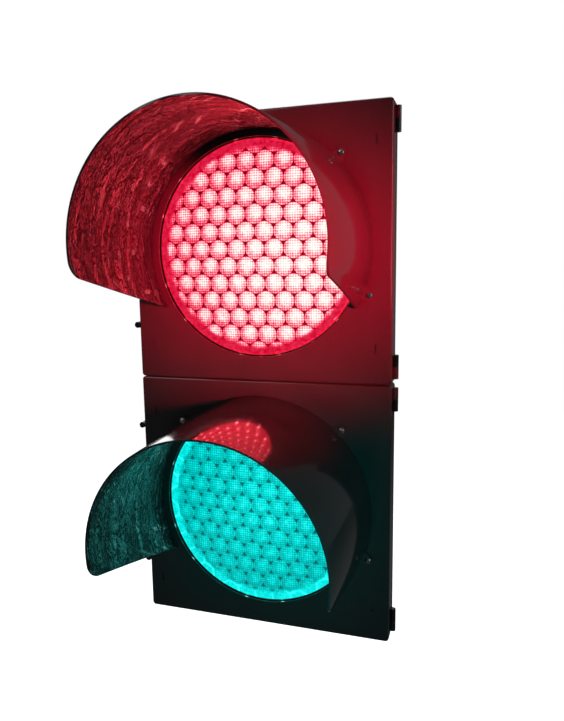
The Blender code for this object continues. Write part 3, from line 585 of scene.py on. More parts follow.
@dataclass(frozen=True)
class LensFinish:
    """A lit lens: hexagonal cells with a fine grid, small dark corners, and a plainer band at the edge.

    Attributes:
        name: The material's name.
        middle: The height of the lens's axis.
        tones: The colours that show, from the dimmest points to the brightest.
        glass: The colour of the lens itself.
        thrown: The colour that it throws on other things.
        flare: The same at the middle of each cell.
        strength: How strongly it glows.
        heart: The (x, z) place of its brightest part.
        reach: How far the brightest part spreads.
        spread: The brightness away from that part, and what is added at it.
        lobe: The brightness at a cell's rim, and what is added at its middle.
        groove: What the lines between cells add.
        band: The brightness of the edge band.
        exposure: A factor on the colours that show.
        pitch: The distance between cells.
        grid: The scale of the fine grid.
        edge: Where the edge band starts and where it is full.
        corner: Where the dark corners start and where they are full, as a share of the pitch.
        dim: How bright a dark corner is.
    """

    name: str
    middle: float
    tones: tuple[tuple[float, tuple[float, float, float]], ...]
    glass: tuple[float, float, float]
    thrown: tuple[float, float, float]
    flare: tuple[float, float, float]
    strength: float
    heart: tuple[float, float]
    reach: float
    spread: tuple[float, float]
    lobe: tuple[float, float]
    groove: float
    band: float
    exposure: float
    pitch: float = 0.0266
    grid: float = 95.0
    edge: tuple[float, float] = (0.1285, 0.1365)
    corner: tuple[float, float] = (0.470, 0.525)
    dim: float = 0.13

    def build(self, effects: SharedEffects) -> bpy.types.Material:
        """Make the material.

        Args:
            effects: The shared node groups.

        Returns:
            The material.
        """
        material = bpy.data.materials.new(self.name)
        material.use_nodes = True
        shader = Shader(material.node_tree)
        surface = material.node_tree.nodes["Principled BSDF"]
        scale = 1.0 / self.pitch
        centred = shader.place((scale, scale, scale), (0.0, 0.0, -self.middle * scale))
        cells = shader.group(effects.cells, {"Vector": centred})
        power = self._power(shader, cells)
        ramp = shader.node("ShaderNodeValToRGB", {"Fac": power})
        stops = ramp.color_ramp.elements
        while len(stops) < len(self.tones):
            stops.new(0.5)
        for stop, (place, color) in zip(stops, self.tones):
            stop.position = place
            stop.color = rgba(color)
        level = self.exposure / self.strength
        seen = shader.mix(1.0, ramp.outputs["Color"], rgba((level, level, level)), "MULTIPLY")
        even = shader.mix(power, rgba([c * 0.6 for c in self.thrown]), rgba(self.thrown))
        thrown = shader.mix(shader.span(cells.outputs["Radius"], 0.14, 0.05), even, rgba(self.flare))
        direct = shader.node("ShaderNodeLightPath").outputs["Is Camera Ray"]
        shader.feed(surface.inputs["Emission Color"], shader.mix(direct, thrown, seen))
        surface.inputs["Emission Strength"].default_value = self.strength
        fleck = shader.noise(shader.place(), 300.0, 2.0, 0.6)
        shader.feed(surface.inputs["Base Color"], shader.mix(fleck, rgba([c * 0.6 for c in self.glass]),
                                                             rgba(self.glass)))
        shader.feed(surface.inputs["Roughness"], shader.span(fleck, 0.2, 0.8, 0.08, 0.20))
        ribs = self._bands(shader, "Z")
        ripple = shader.times(ribs, 0.00010)
        bump = shader.node("ShaderNodeBump", {"Height": ripple, "Distance": 1.0, "Strength": 0.6})
        shader.feed(surface.inputs["Normal"], bump.outputs[0])
        return material

    def _bands(self, shader: Shader, direction: str) -> Socket:
        """Fine bands across one direction."""
        wave = shader.node("ShaderNodeTexWave", {"Vector": shader.place(), "Scale": self.grid,
                                                 "Distortion": 0.8, "Detail": 1.0, "Detail Scale": 30.0},
                           wave_type="BANDS", bands_direction=direction)
        return wave.outputs["Fac"]

    def _power(self, shader: Shader, cells: Node) -> Socket:
        """How bright each point of the lens is, from 0 to 1, over its honeycomb."""
        flat = shader.place((1.0, 0.0, 1.0))
        heart = shader.vector("DISTANCE", flat, (self.heart[0], 0.0, self.heart[1])).outputs["Value"]
        glow = shader.span(heart, self.reach, 0.0)
        spot = shader.node("ShaderNodeCombineXYZ", {0: cells.outputs["Across"], 2: cells.outputs["Up"]})
        away = shader.vector("DISTANCE", spot.outputs[0], (0.06, 0.0, 0.10)).outputs["Value"]
        lobe = shader.span(away, 0.50, 0.08)
        mesh = shader.times(shader.span(self._bands(shader, "X"), 0.05, 0.6, 0.72, 1.0),
                           shader.span(self._bands(shader, "Z"), 0.05, 0.6, 0.66, 1.0))
        fleck = shader.span(shader.noise(shader.place(), 210.0, 3.0, 0.7), 0.3, 0.7, 0.80, 1.15)
        cell = shader.plus(self.lobe[0], shader.times(lobe, self.lobe[1]))
        wide = shader.plus(self.spread[0], shader.times(glow, self.spread[1]))
        power = shader.times(shader.times(cell, wide), shader.times(mesh, fleck))
        groove = shader.span(cells.outputs["Edge"], 0.82, 0.96)
        power = shader.plus(power, shader.times(groove, self.groove))
        lattice = shader.span(cells.outputs["Radius"], self.corner[0], self.corner[1], 1.0, self.dim)
        power = shader.times(power, lattice)
        radius = shader.vector("DISTANCE", flat, (0.0, 0.0, self.middle)).outputs["Value"]
        edge = shader.span(radius, self.edge[0], self.edge[1])
        spokes = shader.plus(fleck, shader.times(groove, self.groove * 2))
        plain = shader.times(spokes, self.band)
        blended = shader.node("ShaderNodeMix", {0: edge}, data_type="FLOAT")
        shader.feed(blended.inputs[2], power)
        shader.feed(blended.inputs[3], plain)
        return shader.times(blended.outputs[0], 1.0, clamp=True)


class Palette:
    """Every material of the head, by the record's slot names and a few more."""

    RED_TONES = ((0.0, (0.06, 0.0, 0.004)), (0.22, (0.55, 0.0, 0.025)), (0.40, (0.95, 0.04, 0.12)),
                 (0.58, (1.0, 0.40, 0.46)), (0.78, (1.0, 0.90, 0.84)), (1.0, (1.0, 1.0, 0.94)))
    GREEN_TONES = ((0.0, (0.0, 0.030, 0.033)), (0.25, (0.0, 0.19, 0.18)), (0.50, (0.0, 0.44, 0.42)),
                   (0.70, (0.004, 0.66, 0.62)), (0.86, (0.03, 0.84, 0.80)), (1.0, (0.30, 1.0, 0.95)))

    def __init__(self) -> None:
        """Build the shared effects and the materials."""
        effects = SharedEffects()
        upper, lower = Section.UPPER.value, Section.LOWER.value
        finishes = [
            SkinFinish("black_polycarbonate", (0.0095, 0.0095, 0.0105), (0.10, 0.20), 420.0, 0.000018,
                       coat=0.3),
            SkinFinish("visor_inside", (0.007, 0.007, 0.008), (0.05, 0.13), 500.0, 0.00003, 0.05, 0.1,
                       coat=0.1, ripple=0.0125),
            SkinFinish("black_rubber", (0.018, 0.018, 0.019), (0.62, 0.82), 1500.0, 0.00006, 0.25, 0.2),
            SkinFinish("clear_acrylic", (0.85, 0.88, 0.9), (0.06, 0.12), alpha=0.45, dust=0.0),
            SkinFinish("grey_plastic", (0.15, 0.15, 0.16), (0.40, 0.55), 1200.0, 0.00005, 0.2, 0.15),
            SkinFinish("circuit_board", (0.012, 0.13, 0.055), (0.25, 0.45), 1600.0, 0.00005, 0.1, 0.1,
                       coat=0.4),
            SkinFinish("stainless_steel", (0.52, 0.52, 0.53), (0.20, 0.38), 700.0, 0.00002, 0.05, 0.2,
                       metallic=1.0, brushed=True),
            SkinFinish("terminal_grey", (0.42, 0.43, 0.44), (0.42, 0.55), 1300.0, 0.00004, 0.15, 0.1),
            SkinFinish("lead_sheath", (0.026, 0.026, 0.028), (0.45, 0.6), 1300.0, 0.00005, 0.15, 0.1),
            LensFinish("red_lens", upper, self.RED_TONES, glass=(0.45, 0.01, 0.02),
                       thrown=(1.0, 0.024, 0.050), flare=(6.0, 0.75, 0.95), strength=4.2,
                       heart=(0.055, upper - 0.015), reach=0.22, spread=(0.86, 0.50), lobe=(0.54, 0.46),
                       groove=-0.02, band=0.27, exposure=1.05),
            LensFinish("green_lens", lower, self.GREEN_TONES, glass=(0.0, 0.20, 0.17),
                       thrown=(0.03, 0.95, 0.85), flare=(3.0, 14.0, 13.0), strength=0.9,
                       heart=(0.01, lower + 0.01), reach=0.16, spread=(0.84, 0.26), lobe=(0.50, 0.24),
                       groove=0.16, band=0.60, exposure=1.55),
        ]
        self.materials = {finish.name: finish.build(effects) for finish in finishes}

    def __getitem__(self, name: str) -> bpy.types.Material:
        """The material of a name."""
        return self.materials[name]


class Assembly:
    """Puts finished pieces on the model's bodies and reports them."""

    def __init__(self, palette: Palette) -> None:
        """Use one palette for every piece."""
        self.palette = palette

    def fit(self, piece: Shape, body: str | None, slot: str, nodes: Sequence[str], angle: float = 35.0,
            extra: Sequence[str] = ()) -> Shape:
        """Give a piece its finish, its body and the CAD nodes that it stands for.

        Args:
            piece: The finished piece.
            body: The body that it rides on, or None for a piece that runs between two.
            slot: The material slot that it takes its finish from.
            nodes: The CAD nodes that it replaces.
            angle: The steepest edge that is shaded smooth, in degrees.
            extra: More materials, for faces that already point at them.

        Returns:
            The piece.
        """
        wanted = [self.palette[slot]] + [self.palette[name] for name in extra]
        indices = [face.material_index for face in piece.data.polygons]
        piece.data.materials.clear()
        for material in wanted:
            piece.data.materials.append(material)
        for face, index in zip(piece.data.polygons, indices):
            face.material_index = min(index, len(wanted) - 1)
        Bench.smooth(piece, angle)
        if body:
            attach(piece, body)
        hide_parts(*nodes)
        LOG.info("%s on %s, %d faces", piece.name, body or "two bodies", len(piece.data.polygons))
        return piece

    def keep(self, node: str, slot: str) -> None:
        """Keep a CAD node's own shape and give it a better material."""
        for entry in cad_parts[node].material_slots:
            entry.material = self.palette[slot]
        LOG.info("%s keeps its CAD shape", node)


# ---- pieces -------------------------------------------------------------------------------------------
@dataclass
class SectionPart:
    """Anything that belongs to one section."""

    section: Section

    @property
    def mid(self) -> float:
        """The height of the section's middle."""
        return self.section.value

    def named(self, word: str) -> str:
        """A name that starts with the section's."""
        return f"{self.section.label}_{word}"


@dataclass
class Hinges(SectionPart):
    """The knuckles and ears that a door and its shell share."""

    bore: float = 0.0023
    relief: float = 0.0047

    def spans(self, door: bool) -> list[tuple[float, float]]:
        """The heights of the door's knuckles, or of the shell's."""
        found = []
        for side in (1, -1):
            middle = self.mid + side * HINGE_OFFSET
            outer = (middle + GAP, middle + KNUCKLE_LENGTH)
            inner = (middle - KNUCKLE_LENGTH, middle - GAP)
            found.append(outer if (side > 0) == door else inner)
        return found

    def _posts(self, spans: Sequence[tuple[float, float]], radius: float, spare: float) -> list[Shape]:
        """Upright cylinders on the hinge line."""
        line = (HINGE_X, HINGE_Y)
        return [Bench.drum("post", line, radius, low - spare, high + spare, SMALL, True)
                for low, high in spans]

    def fit_to(self, piece: Shape, door: bool) -> None:
        """Clear the partner's knuckles, add the piece's own and bore them."""
        own, other = self.spans(door), self.spans(not door)
        Bench.combine(piece, self._posts(other, self.relief, 0.0008), "DIFFERENCE")
        Bench.combine(piece, self._posts(own, KNUCKLE_RADIUS, 0.0), "UNION")
        Bench.combine(piece, self._posts(own, self.bore, 0.001), "DIFFERENCE")

    def add_ears(self, piece: Shape, front: float, back: float, hole: float) -> None:
        """Add an ear and its hole at each latch screw."""
        heights = [self.mid + side * LATCH_OFFSET for side in (1, -1)]
        root = 0.0015 - HALF_X
        webs = [Bench.box("web", (LATCH_X, front, z - EAR_RADIUS), (root, back, z + EAR_RADIUS))
                for z in heights]
        ends = [Bench.drum("end", (LATCH_X, z), EAR_RADIUS, front, back, SMALL) for z in heights]
        holes = [Bench.drum("hole", (LATCH_X, z), hole, front - 0.001, back + 0.001, SMALL) for z in heights]
        for tools, operation in ((webs, "UNION"), (ends, "UNION"), (holes, "DIFFERENCE")):
            Bench.combine(piece, tools, operation)


@dataclass
class Door(SectionPart):
    """The square front panel with its round aperture."""

    aperture: float = 0.146
    corner: float = 0.005
    front_round: float = 0.0034
    lip_round: float = 0.0008
    pocket_x: float = 0.1605
    pocket_z: float = 0.131
    latch_hole: float = 0.0028

    def build(self, shop: Assembly) -> Shape:
        """Model the panel and put it on its body."""
        mid = self.mid
        name = self.named("door_panel")
        door = Bench.box(name, (-HALF_X, FRONT, mid - HALF_Z), (HALF_X, PARTING, mid + HALF_Z))
        Bench.bevel(door, running(Y, 0.01), self.corner, 10)
        Bench.bevel(door, level(FRONT), self.front_round, 6)
        Bench.edit(door, Pick.FACE, level(PARTING))
        bpy.ops.mesh.inset(thickness=WALL)
        bpy.ops.mesh.extrude_region_move(TRANSFORM_OT_translate={"value": (0, FRONT + WALL - PARTING, 0)})
        Bench.close()
        hole = Bench.drum("aperture", (0, mid), self.aperture, FRONT - 0.01, FRONT + 0.01, FINE)
        Bench.combine(door, [hole], "DIFFERENCE")
        Bench.bevel(door, lambda e: level(FRONT)(e) and all(
            abs(math.hypot(v.co.x, v.co.z - mid) - self.aperture) < 1e-4 for v in e.verts), self.lip_round, 3)
        bosses = [Bench.drum("boss", around(self.section, SCREW_CIRCLE, angle), BOSS_RADIUS,
                             FRONT + 0.002, FRONT + 0.0155, SMALL) for angle in (0.0, 120.0, 240.0)]
        Bench.combine(door, bosses, "UNION")
        Bench.combine(door, self._pockets(), "DIFFERENCE")
        hinges = Hinges(self.section)
        hinges.fit_to(door, door=True)
        hinges.add_ears(door, EAR_FRONT, PARTING - 0.0001, self.latch_hole)
        return shop.fit(door, self.section.door_body, "black_polycarbonate", [self.named("door")], 30.0)

    def _pockets(self) -> list[Shape]:
        """Round-ended pockets near the panel's corners."""
        pockets = []
        for x in (-self.pocket_x, self.pocket_x):
            for z in (self.mid - self.pocket_z, self.mid + self.pocket_z):
                pocket = Bench.box("pocket", (x - 0.002, FRONT - 0.003, z - 0.006),
                                   (x + 0.002, FRONT + 0.0016, z + 0.006))
                Bench.bevel(pocket, running(Y, 0.003), 0.0019, 5)
                pockets.append(pocket)
        return pockets


@dataclass
class Visor(SectionPart):
    """The tapering hood, open below, with its fixing tabs."""

    root_radius: float = 0.1585
    tip_radius: float = 0.1505
    length: float = 0.205
    wall: float = 0.0025
    root_drop: float = 0.0793
    tip_drop: float = 0.0313
    corner: float = 0.016
    tab_radius: float = 0.0065
    tab_root: float = 0.1572

    def build(self, shop: Assembly) -> Shape:
        """Model the hood, with its inside faces on their own finish."""
        visor = self._cone(self.named("visor_hood"), 0.0, 0.006)
        Bench.combine(visor, [self._cone("hollow", self.wall, 0.012)], "DIFFERENCE")
        Bench.combine(visor, [self._side_view()], "INTERSECT")
        for face in visor.data.polygons:
            outward = Vector((face.center.x, 0.0, face.center.z - self.mid))
            face.material_index = 1 if face.normal.dot(outward.normalized()) < -0.5 else 0
        Bench.apply(visor, "BEVEL", width=0.0008, segments=3, limit_method="ANGLE",
                    angle_limit=math.radians(50), use_clamp_overlap=True)
        Bench.combine(visor, self._tabs(), "UNION")
        ends = [Bench.drum("tab_end", around(self.section, SCREW_CIRCLE, angle), self.tab_radius,
                           FRONT - GAP - TAB_THICK, FRONT - GAP, SMALL) for angle in VISOR_TABS]
        Bench.combine(visor, ends, "UNION")
        return shop.fit(visor, self.section.door_body, "black_polycarbonate", [self.named("visor")],
                        40.0, ["visor_inside"])

    def _cone(self, name: str, inset: float, spare: float) -> Shape:
        """A closed cone with the hood's taper, longer than the hood at both ends."""
        slope = (self.tip_radius - self.root_radius) / self.length
        Bench.clear()
        bpy.ops.mesh.primitive_cone_add(
            vertices=144, radius1=self.root_radius - inset - slope * spare,
            radius2=self.tip_radius - inset + slope * spare, depth=self.length + 2 * spare,
            location=(0, FRONT - self.length / 2, self.mid), rotation=(math.pi / 2, 0, 0))
        return Bench.settle(name)

    def _side_view(self) -> Shape:
        """A block with the hood's outline from the side, its front-lower corner rounded."""
        mid = self.mid
        tip = FRONT - self.length
        block = Bench.box("side_view", (-0.2, tip, mid - self.root_drop), (0.2, FRONT - GAP, mid + 0.2))
        Bench.edit(block, Pick.VERT, lambda v: v.co.y < tip + 0.01 and v.co.z < mid)
        bpy.ops.transform.translate(value=(0, 0, self.root_drop - self.tip_drop))
        Bench.close()
        Bench.bevel(block, lambda e: all(v.co.y < tip + 0.01 and v.co.z < mid for v in e.verts),
                    self.corner, 12)
        return block

    def _tabs(self) -> list[Shape]:
        """The straight part of each fixing tab."""
        tabs = []
        back = FRONT - GAP
        for angle in VISOR_TABS:
            turn = math.radians(angle)
            outward = Vector((math.sin(turn), 0, math.cos(turn)))
            across = Vector((math.cos(turn), 0, -math.sin(turn)))
            base = Vector((0, back, self.mid))
            outline = [base + outward * r + across * s for r, s in
                       ((self.tab_root, -0.0100), (SCREW_CIRCLE, -self.tab_radius),
                        (SCREW_CIRCLE, self.tab_radius), (self.tab_root, 0.0100))]
            tabs.append(Bench.slab("tab", outline, (0, -TAB_THICK, 0)))
        return tabs


@dataclass
class Screws:
    """Pan-head screws with a cross recess, modelled once and copied."""

    head: float = 0.0040
    shank: float = 0.0018
    recess: float = 0.0021

    def build(self, shop: Assembly) -> None:
        """Model one visor screw and put a copy at every tab of both visors."""
        seat = FRONT - GAP - TAB_THICK - GAP
        half = 0.00042
        profile = [(0, seat - 0.0026), (0.0014, seat - 0.0025), (0.0026, seat - 0.0021),
                   (0.0036, seat - 0.0013), (self.head, seat - 0.0004), (self.head, seat), (self.shank, seat),
                   (self.shank, seat + 0.0088), (0, seat + 0.0098)]
        master = Bench.turned("screw_master", profile, (0.0, 0.0), SMALL)
        cross = Bench.box("slot_a", (-self.recess, seat - 0.004, -half), (self.recess, seat - 0.0012, half))
        other = Bench.box("slot_b", (-half, seat - 0.0041, -self.recess), (half, seat - 0.0011, self.recess))
        Bench.combine(cross, [other], "UNION")
        Bench.combine(master, [cross], "DIFFERENCE")
        for section in Section:
            for number, angle in enumerate(VISOR_TABS, 1):
                x, z = around(section, SCREW_CIRCLE, angle)
                name = f"{section.label}_visor_screw_{number}"
                screw = Bench.copy(master, f"{name}_pan", (x, 0, z), math.radians(angle * 0.7 + 20 * number))
                shop.fit(screw, section.door_body, "stainless_steel", [name])
        bpy.data.objects.remove(master, do_unlink=True)


@dataclass
class LatchScrew:
    """A captive screw with a knurled, slotted head in the ears at the door's free edge."""

    head: float = 0.0045
    shank: float = 0.0023
    grooves: int = 20

    def build(self, shop: Assembly) -> None:
        """Model one screw and put a copy at each latch."""
        front, seat = FRONT + 0.0022, EAR_FRONT - GAP
        profile = [(0, front), (self.head - 0.0010, front), (self.head - 0.0003, front + 0.0003),
                   (self.head, front + 0.0010), (self.head, seat - 0.0006), (self.head - 0.0005, seat),
                   (self.shank, seat), (self.shank, PARTING + 0.0102),
                   (self.shank - 0.0006, PARTING + 0.0110), (0, PARTING + 0.0110)]
        master = Bench.turned("latch_screw_master", profile, (0.0, 0.0), 60)
        knurl = []
        for i in range(self.grooves):
            turn = math.tau * i / self.grooves
            place = ((self.head + 0.0002) * math.sin(turn), (self.head + 0.0002) * math.cos(turn))
            knurl.append(Bench.drum("knurl", place, 0.00042, front + 0.0014, seat - 0.0010, 8))
        Bench.combine(master, knurl, "DIFFERENCE")
        slot = Bench.box("slot", (-0.0006, front - 0.001, -0.006), (0.0006, front + 0.0014, 0.006))
        Bench.combine(master, [slot], "DIFFERENCE")
        for section in Section:
            for place, side in (("top", 1), ("bottom", -1)):
                name = f"{section.label}_latch_screw_{place}"
                spot = (LATCH_X, 0, section.value + side * LATCH_OFFSET)
                screw = Bench.copy(master, f"{name}_knurled", spot)
                shop.fit(screw, name, "black_polycarbonate", [name])
        bpy.data.objects.remove(master, do_unlink=True)


@dataclass
class LensUnit(SectionPart):
    """The domed lens with its honeycomb of lenslets, and the rubber channel around it."""

    slot: str
    edge: float = 0.1430
    crown: float = FRONT - 0.0050
    rim_front: float = FRONT + 0.0056
    rim_back: float = FRONT + 0.0087
    rim_radius: float = 0.152
    pitch: float = 0.0266
    columns: int = 13
    rows: int = 8

    def _dome(self, radius: float) -> float:
        """The place along Y of the lens's front at a radius."""
        rise = self.rim_front - self.crown
        sphere = (self.edge ** 2 + rise ** 2) / (2 * rise)
        return self.crown + sphere - math.sqrt(max(0.0, sphere ** 2 - radius ** 2))

    def build(self, shop: Assembly) -> Shape:
        """Model the lens, then the channel."""
        steps = 14
        front = [(self.edge * i / steps, self._dome(self.edge * i / steps)) for i in range(steps + 1)]
        back = [(r * 0.982, y + 0.0030) for r, y in reversed(front)]
        rim = [(self.rim_radius - 0.0004, self.rim_front), (self.rim_radius, self.rim_front + 0.0004),
               (self.rim_radius, self.rim_back)]
        profile = front + rim + back
        lens = Bench.turned(self.named("lens_dome"), profile, (0.0, self.mid), FINE)
        Bench.combine(lens, [self._honeycomb()], "UNION")
        shop.fit(lens, self.section.door_body, self.slot, [self.named("lens")], 50.0)
        self._channel(shop)
        return lens

    def _honeycomb(self) -> Shape:
        """A curved sheet of raised hexagons, cut round."""
        mid = self.mid
        rise = self.pitch * math.sqrt(3.0) / 2
        start = (-self.pitch * (self.columns // 2), FRONT - 0.02, mid - rise * self.rows)
        cells = []
        for shift in ((0.0, 0.0), (self.pitch / 2, rise)):
            Bench.clear()
            bpy.ops.mesh.primitive_circle_add(
                vertices=6, radius=self.pitch / math.sqrt(3.0), fill_type="NGON",
                rotation=(math.pi / 2, 0, 0),
                location=(start[0] + shift[0], start[1], start[2] + shift[1]))
            cells.append(Bench.settle("lenslet"))
        sheet = Bench.join(cells)
        Bench.apply(sheet, "ARRAY", count=self.columns, use_relative_offset=False, use_constant_offset=True,
                    constant_offset_displace=(self.pitch, 0, 0))
        Bench.apply(sheet, "ARRAY", count=self.rows + 1, use_relative_offset=False, use_constant_offset=True,
                    constant_offset_displace=(0, 0, 2 * rise))
        Bench.edit(sheet, Pick.FACE, lambda face: True)
        bpy.ops.mesh.remove_doubles(threshold=1e-5)
        Bench.outward()
        Bench.close()
        if sheet.data.polygons[0].normal.y > 0:
            Bench.edit(sheet, Pick.FACE, lambda face: True)
            bpy.ops.mesh.flip_normals()
            Bench.close()
        Bench.edit(sheet, Pick.FACE, lambda face: True)
        for thickness, depth in ((0.0006, 0.0), (0.0012, 0.0006), (0.0030, 0.0006), (0.0034, 0.00025)):
            bpy.ops.mesh.inset(use_individual=True, thickness=thickness, depth=depth)
        Bench.close()
        base = FRONT - 0.02
        for vert in sheet.data.vertices:
            radius = min(self.edge, math.hypot(vert.co.x, vert.co.z - mid))
            vert.co.y += self._dome(radius) - base - 0.0001
        Bench.apply(sheet, "SOLIDIFY", thickness=0.0018, offset=-1.0)
        disc = Bench.drum("disc", (0, mid), self.edge - 0.0010, FRONT - 0.03, FRONT + 0.03, FINE)
        Bench.combine(sheet, [disc], "INTERSECT")
        return sheet

    def _channel(self, shop: Assembly) -> None:
        """The rubber channel that grips the rims of the lens and the case."""
        profile = [(0.1449, FRONT + 0.0033), (0.1445, FRONT + 0.0037), (0.1445, FRONT + 0.0053),
                   (0.1523, FRONT + 0.0053), (0.1523, FRONT + 0.0123), (0.1490, FRONT + 0.0123),
                   (0.1490, FRONT + 0.0155), (0.1551, FRONT + 0.0155), (0.1555, FRONT + 0.0151),
                   (0.1555, FRONT + 0.0037), (0.1551, FRONT + 0.0033)]
        ring = Bench.turned(self.named("lens_channel"), profile, (0.0, self.mid), FINE, loop=True)
        shop.fit(ring, self.section.door_body, "black_rubber", [self.named("lens_gasket")])


@dataclass
class ModuleCase(SectionPart):
    """The dished back of an LED module, with its moulded ribs."""

    ribs: int = 12
    gland_x: float = 0.045
    gland_hole: float = 0.0063

    def build(self, shop: Assembly) -> Shape:
        """Model the case from its section line, then add the ribs."""
        front = FRONT + 0.0090
        outside = [(0.1450, front), (0.1516, front), (0.1520, front + 0.0004), (0.1520, FRONT + 0.0120),
                   (0.1475, FRONT + 0.0120), (0.1475, FRONT + 0.0220), (0.1200, FRONT + 0.0450),
                   (0.0870, FRONT + 0.0588), (0.0848, FRONT + 0.0612), (0.0806, FRONT + 0.0860),
                   (0.0792, FRONT + 0.0902), (0.0760, FRONT + 0.0920), (0, FRONT + 0.0920)]
        inside = [(0, FRONT + 0.0895), (0.0735, FRONT + 0.0895), (0.0775, FRONT + 0.0865),
                  (0.0825, FRONT + 0.0585), (0.1185, FRONT + 0.0425), (0.1450, FRONT + 0.0210)]
        mid = self.mid
        case = Bench.turned(self.named("case"), inside + outside, (0.0, mid), FINE)
        outline = [(-0.001, FRONT + 0.0250, mid + 0.1420), (-0.001, FRONT + 0.0455, mid + 0.1175),
                   (-0.001, FRONT + 0.0600, mid + 0.0840), (-0.001, FRONT + 0.0700, mid + 0.0815),
                   (-0.001, FRONT + 0.0660, mid + 0.0880), (-0.001, FRONT + 0.0480, mid + 0.1220),
                   (-0.001, FRONT + 0.0300, mid + 0.1440)]
        master = Bench.slab("rib", outline, (0.002, 0, 0))
        fins = [Bench.copy(master, f"rib_{i}", (0, 0, 0), math.tau * (i + 0.5) / self.ribs, (0, 0, mid))
                for i in range(self.ribs)]
        bpy.data.objects.remove(master, do_unlink=True)
        Bench.combine(case, fins, "UNION")
        place = (self.gland_x, mid)
        hole = Bench.drum("gland_hole", place, self.gland_hole, FRONT + 0.08, FRONT + 0.1, SMALL)
        Bench.combine(case, [hole], "DIFFERENCE")
        return shop.fit(case, self.section.door_body, "grey_plastic", [self.named("module_case")], 30.0)


@dataclass
class Housing(SectionPart):
    """A rear shell: a flange, tapering sides and a rounded back."""

    corner: float = 0.005
    hub_radius: float = 0.040
    bore: float = 0.026
    seal_seat: float = 0.0385
    latch_hole: float = 0.0031

    def build(self, shop: Assembly) -> Shape:
        """Model the shell from a flange block by extruding its back and hollowing its front."""
        mid = self.mid
        front = PARTING + GAP
        flange = front + FLANGE_DEPTH
        name = self.named("shell")
        shell = Bench.box(name, (-HALF_X, front, mid - HALF_Z), (HALF_X, flange, mid + HALF_Z))
        Bench.bevel(shell, running(Y, 0.01), self.corner, 10)
        outer = [(flange + 0.0008, 0.1780, 0.0), (BACK - 0.034, 0.1660, 0.0)]
        inner = [(front, 0.1745, 0.0065), (front + 0.004, 0.1750, WALL), (flange, 0.1750, WALL),
                 (BACK - 0.034, 0.1630, WALL), (BACK - 0.012, 0.1535, WALL), (BACK - 0.006, 0.1460, 0.008),
                 (BACK - WALL, 0.1360, 0.018)]
        for i in range(9):
            turn = math.pi / 2 * i / 8
            y = BACK - 0.012 + 0.012 * math.sin(turn)
            outer.append((y, 0.1570 - 0.019 * (1 - math.cos(turn)), 0.016 * (1 - math.cos(turn))))
        self._pull(shell, level(flange), flange, (HALF_X, HALF_Z), outer)
        self._pull(shell, level(front), front, (HALF_X, HALF_Z), inner)
        hinges = Hinges(self.section)
        hinges.fit_to(shell, door=False)
        hinges.add_ears(shell, front, flange - 0.0005, self.latch_hole)
        self._hubs(shell)
        self._panel_line(shell)
        return shop.fit(shell, "housing", "black_polycarbonate", [self.named("housing")], 30.0)

    def _pull(self, shell: Shape, test: Callable[[object], bool], start: float, half: tuple[float, float],
              stations: Sequence[tuple[float, float, float]]) -> None:
        """Extrude a face through stations of (place along Y, half width, drop of the top)."""
        Bench.edit(shell, Pick.FACE, test)
        y, (half_x, half_z) = start, half
        for next_y, next_x, drop in stations:
            next_z = HALF_Z - drop
            bpy.ops.mesh.extrude_region_move(TRANSFORM_OT_translate={"value": (0, next_y - y, 0)})
            bpy.ops.transform.resize(value=(next_x / half_x, 1, next_z / half_z),
                                     center_override=(0, next_y, self.mid))
            y, half_x, half_z = next_y, next_x, next_z
        Bench.close()

    def _panel_line(self, shell: Shape) -> None:
        """Cut the shallow line that frames the moulded back."""
        mid = self.mid
        frames = []
        for inset, front, back in ((0.0, BACK - 0.0010, BACK + 0.002), (0.0022, BACK - 0.002, BACK + 0.003)):
            half_x, half_z = 0.1180 - inset, 0.1400 - inset
            block = Bench.box("panel_line", (-half_x, front, mid - half_z), (half_x, back, mid + half_z))
            Bench.bevel(block, running(Y, 0.001), 0.0140 - inset, 8)
            frames.append(block)
        line, core = frames
        Bench.combine(line, [core], "DIFFERENCE")
        Bench.combine(shell, [line], "DIFFERENCE")

    def _hubs(self, shell: Shape) -> None:
        """The raised hub with its rounded rim, the bores and the seat of the seal."""
        outer_end = 1 if self.section is Section.UPPER else -1
        face = self.mid + outer_end * HALF_SECTION
        ends = sorted((face - outer_end * 0.002, face + outer_end * HUB_HEIGHT))
        hub = Bench.drum("hub", (0, 0), self.hub_radius, ends[0], ends[1], FINE, True)
        rim = ends[1] if outer_end > 0 else ends[0]
        Bench.bevel(hub, level(rim, Z), 0.0008, 3)
        Bench.combine(shell, [hub], "UNION")
        faces = [self.mid + HALF_SECTION, self.mid - HALF_SECTION]
        bores = [Bench.drum("bore", (0, 0), self.bore, z - 0.010, z + 0.010, FINE, True) for z in faces]
        Bench.combine(shell, bores, "DIFFERENCE")
        seat = Bench.drum("seat", (0, 0), self.seal_seat, SEAM - 0.0015, SEAM + 0.0015, FINE, True)
        Bench.combine(shell, [seat], "DIFFERENCE")


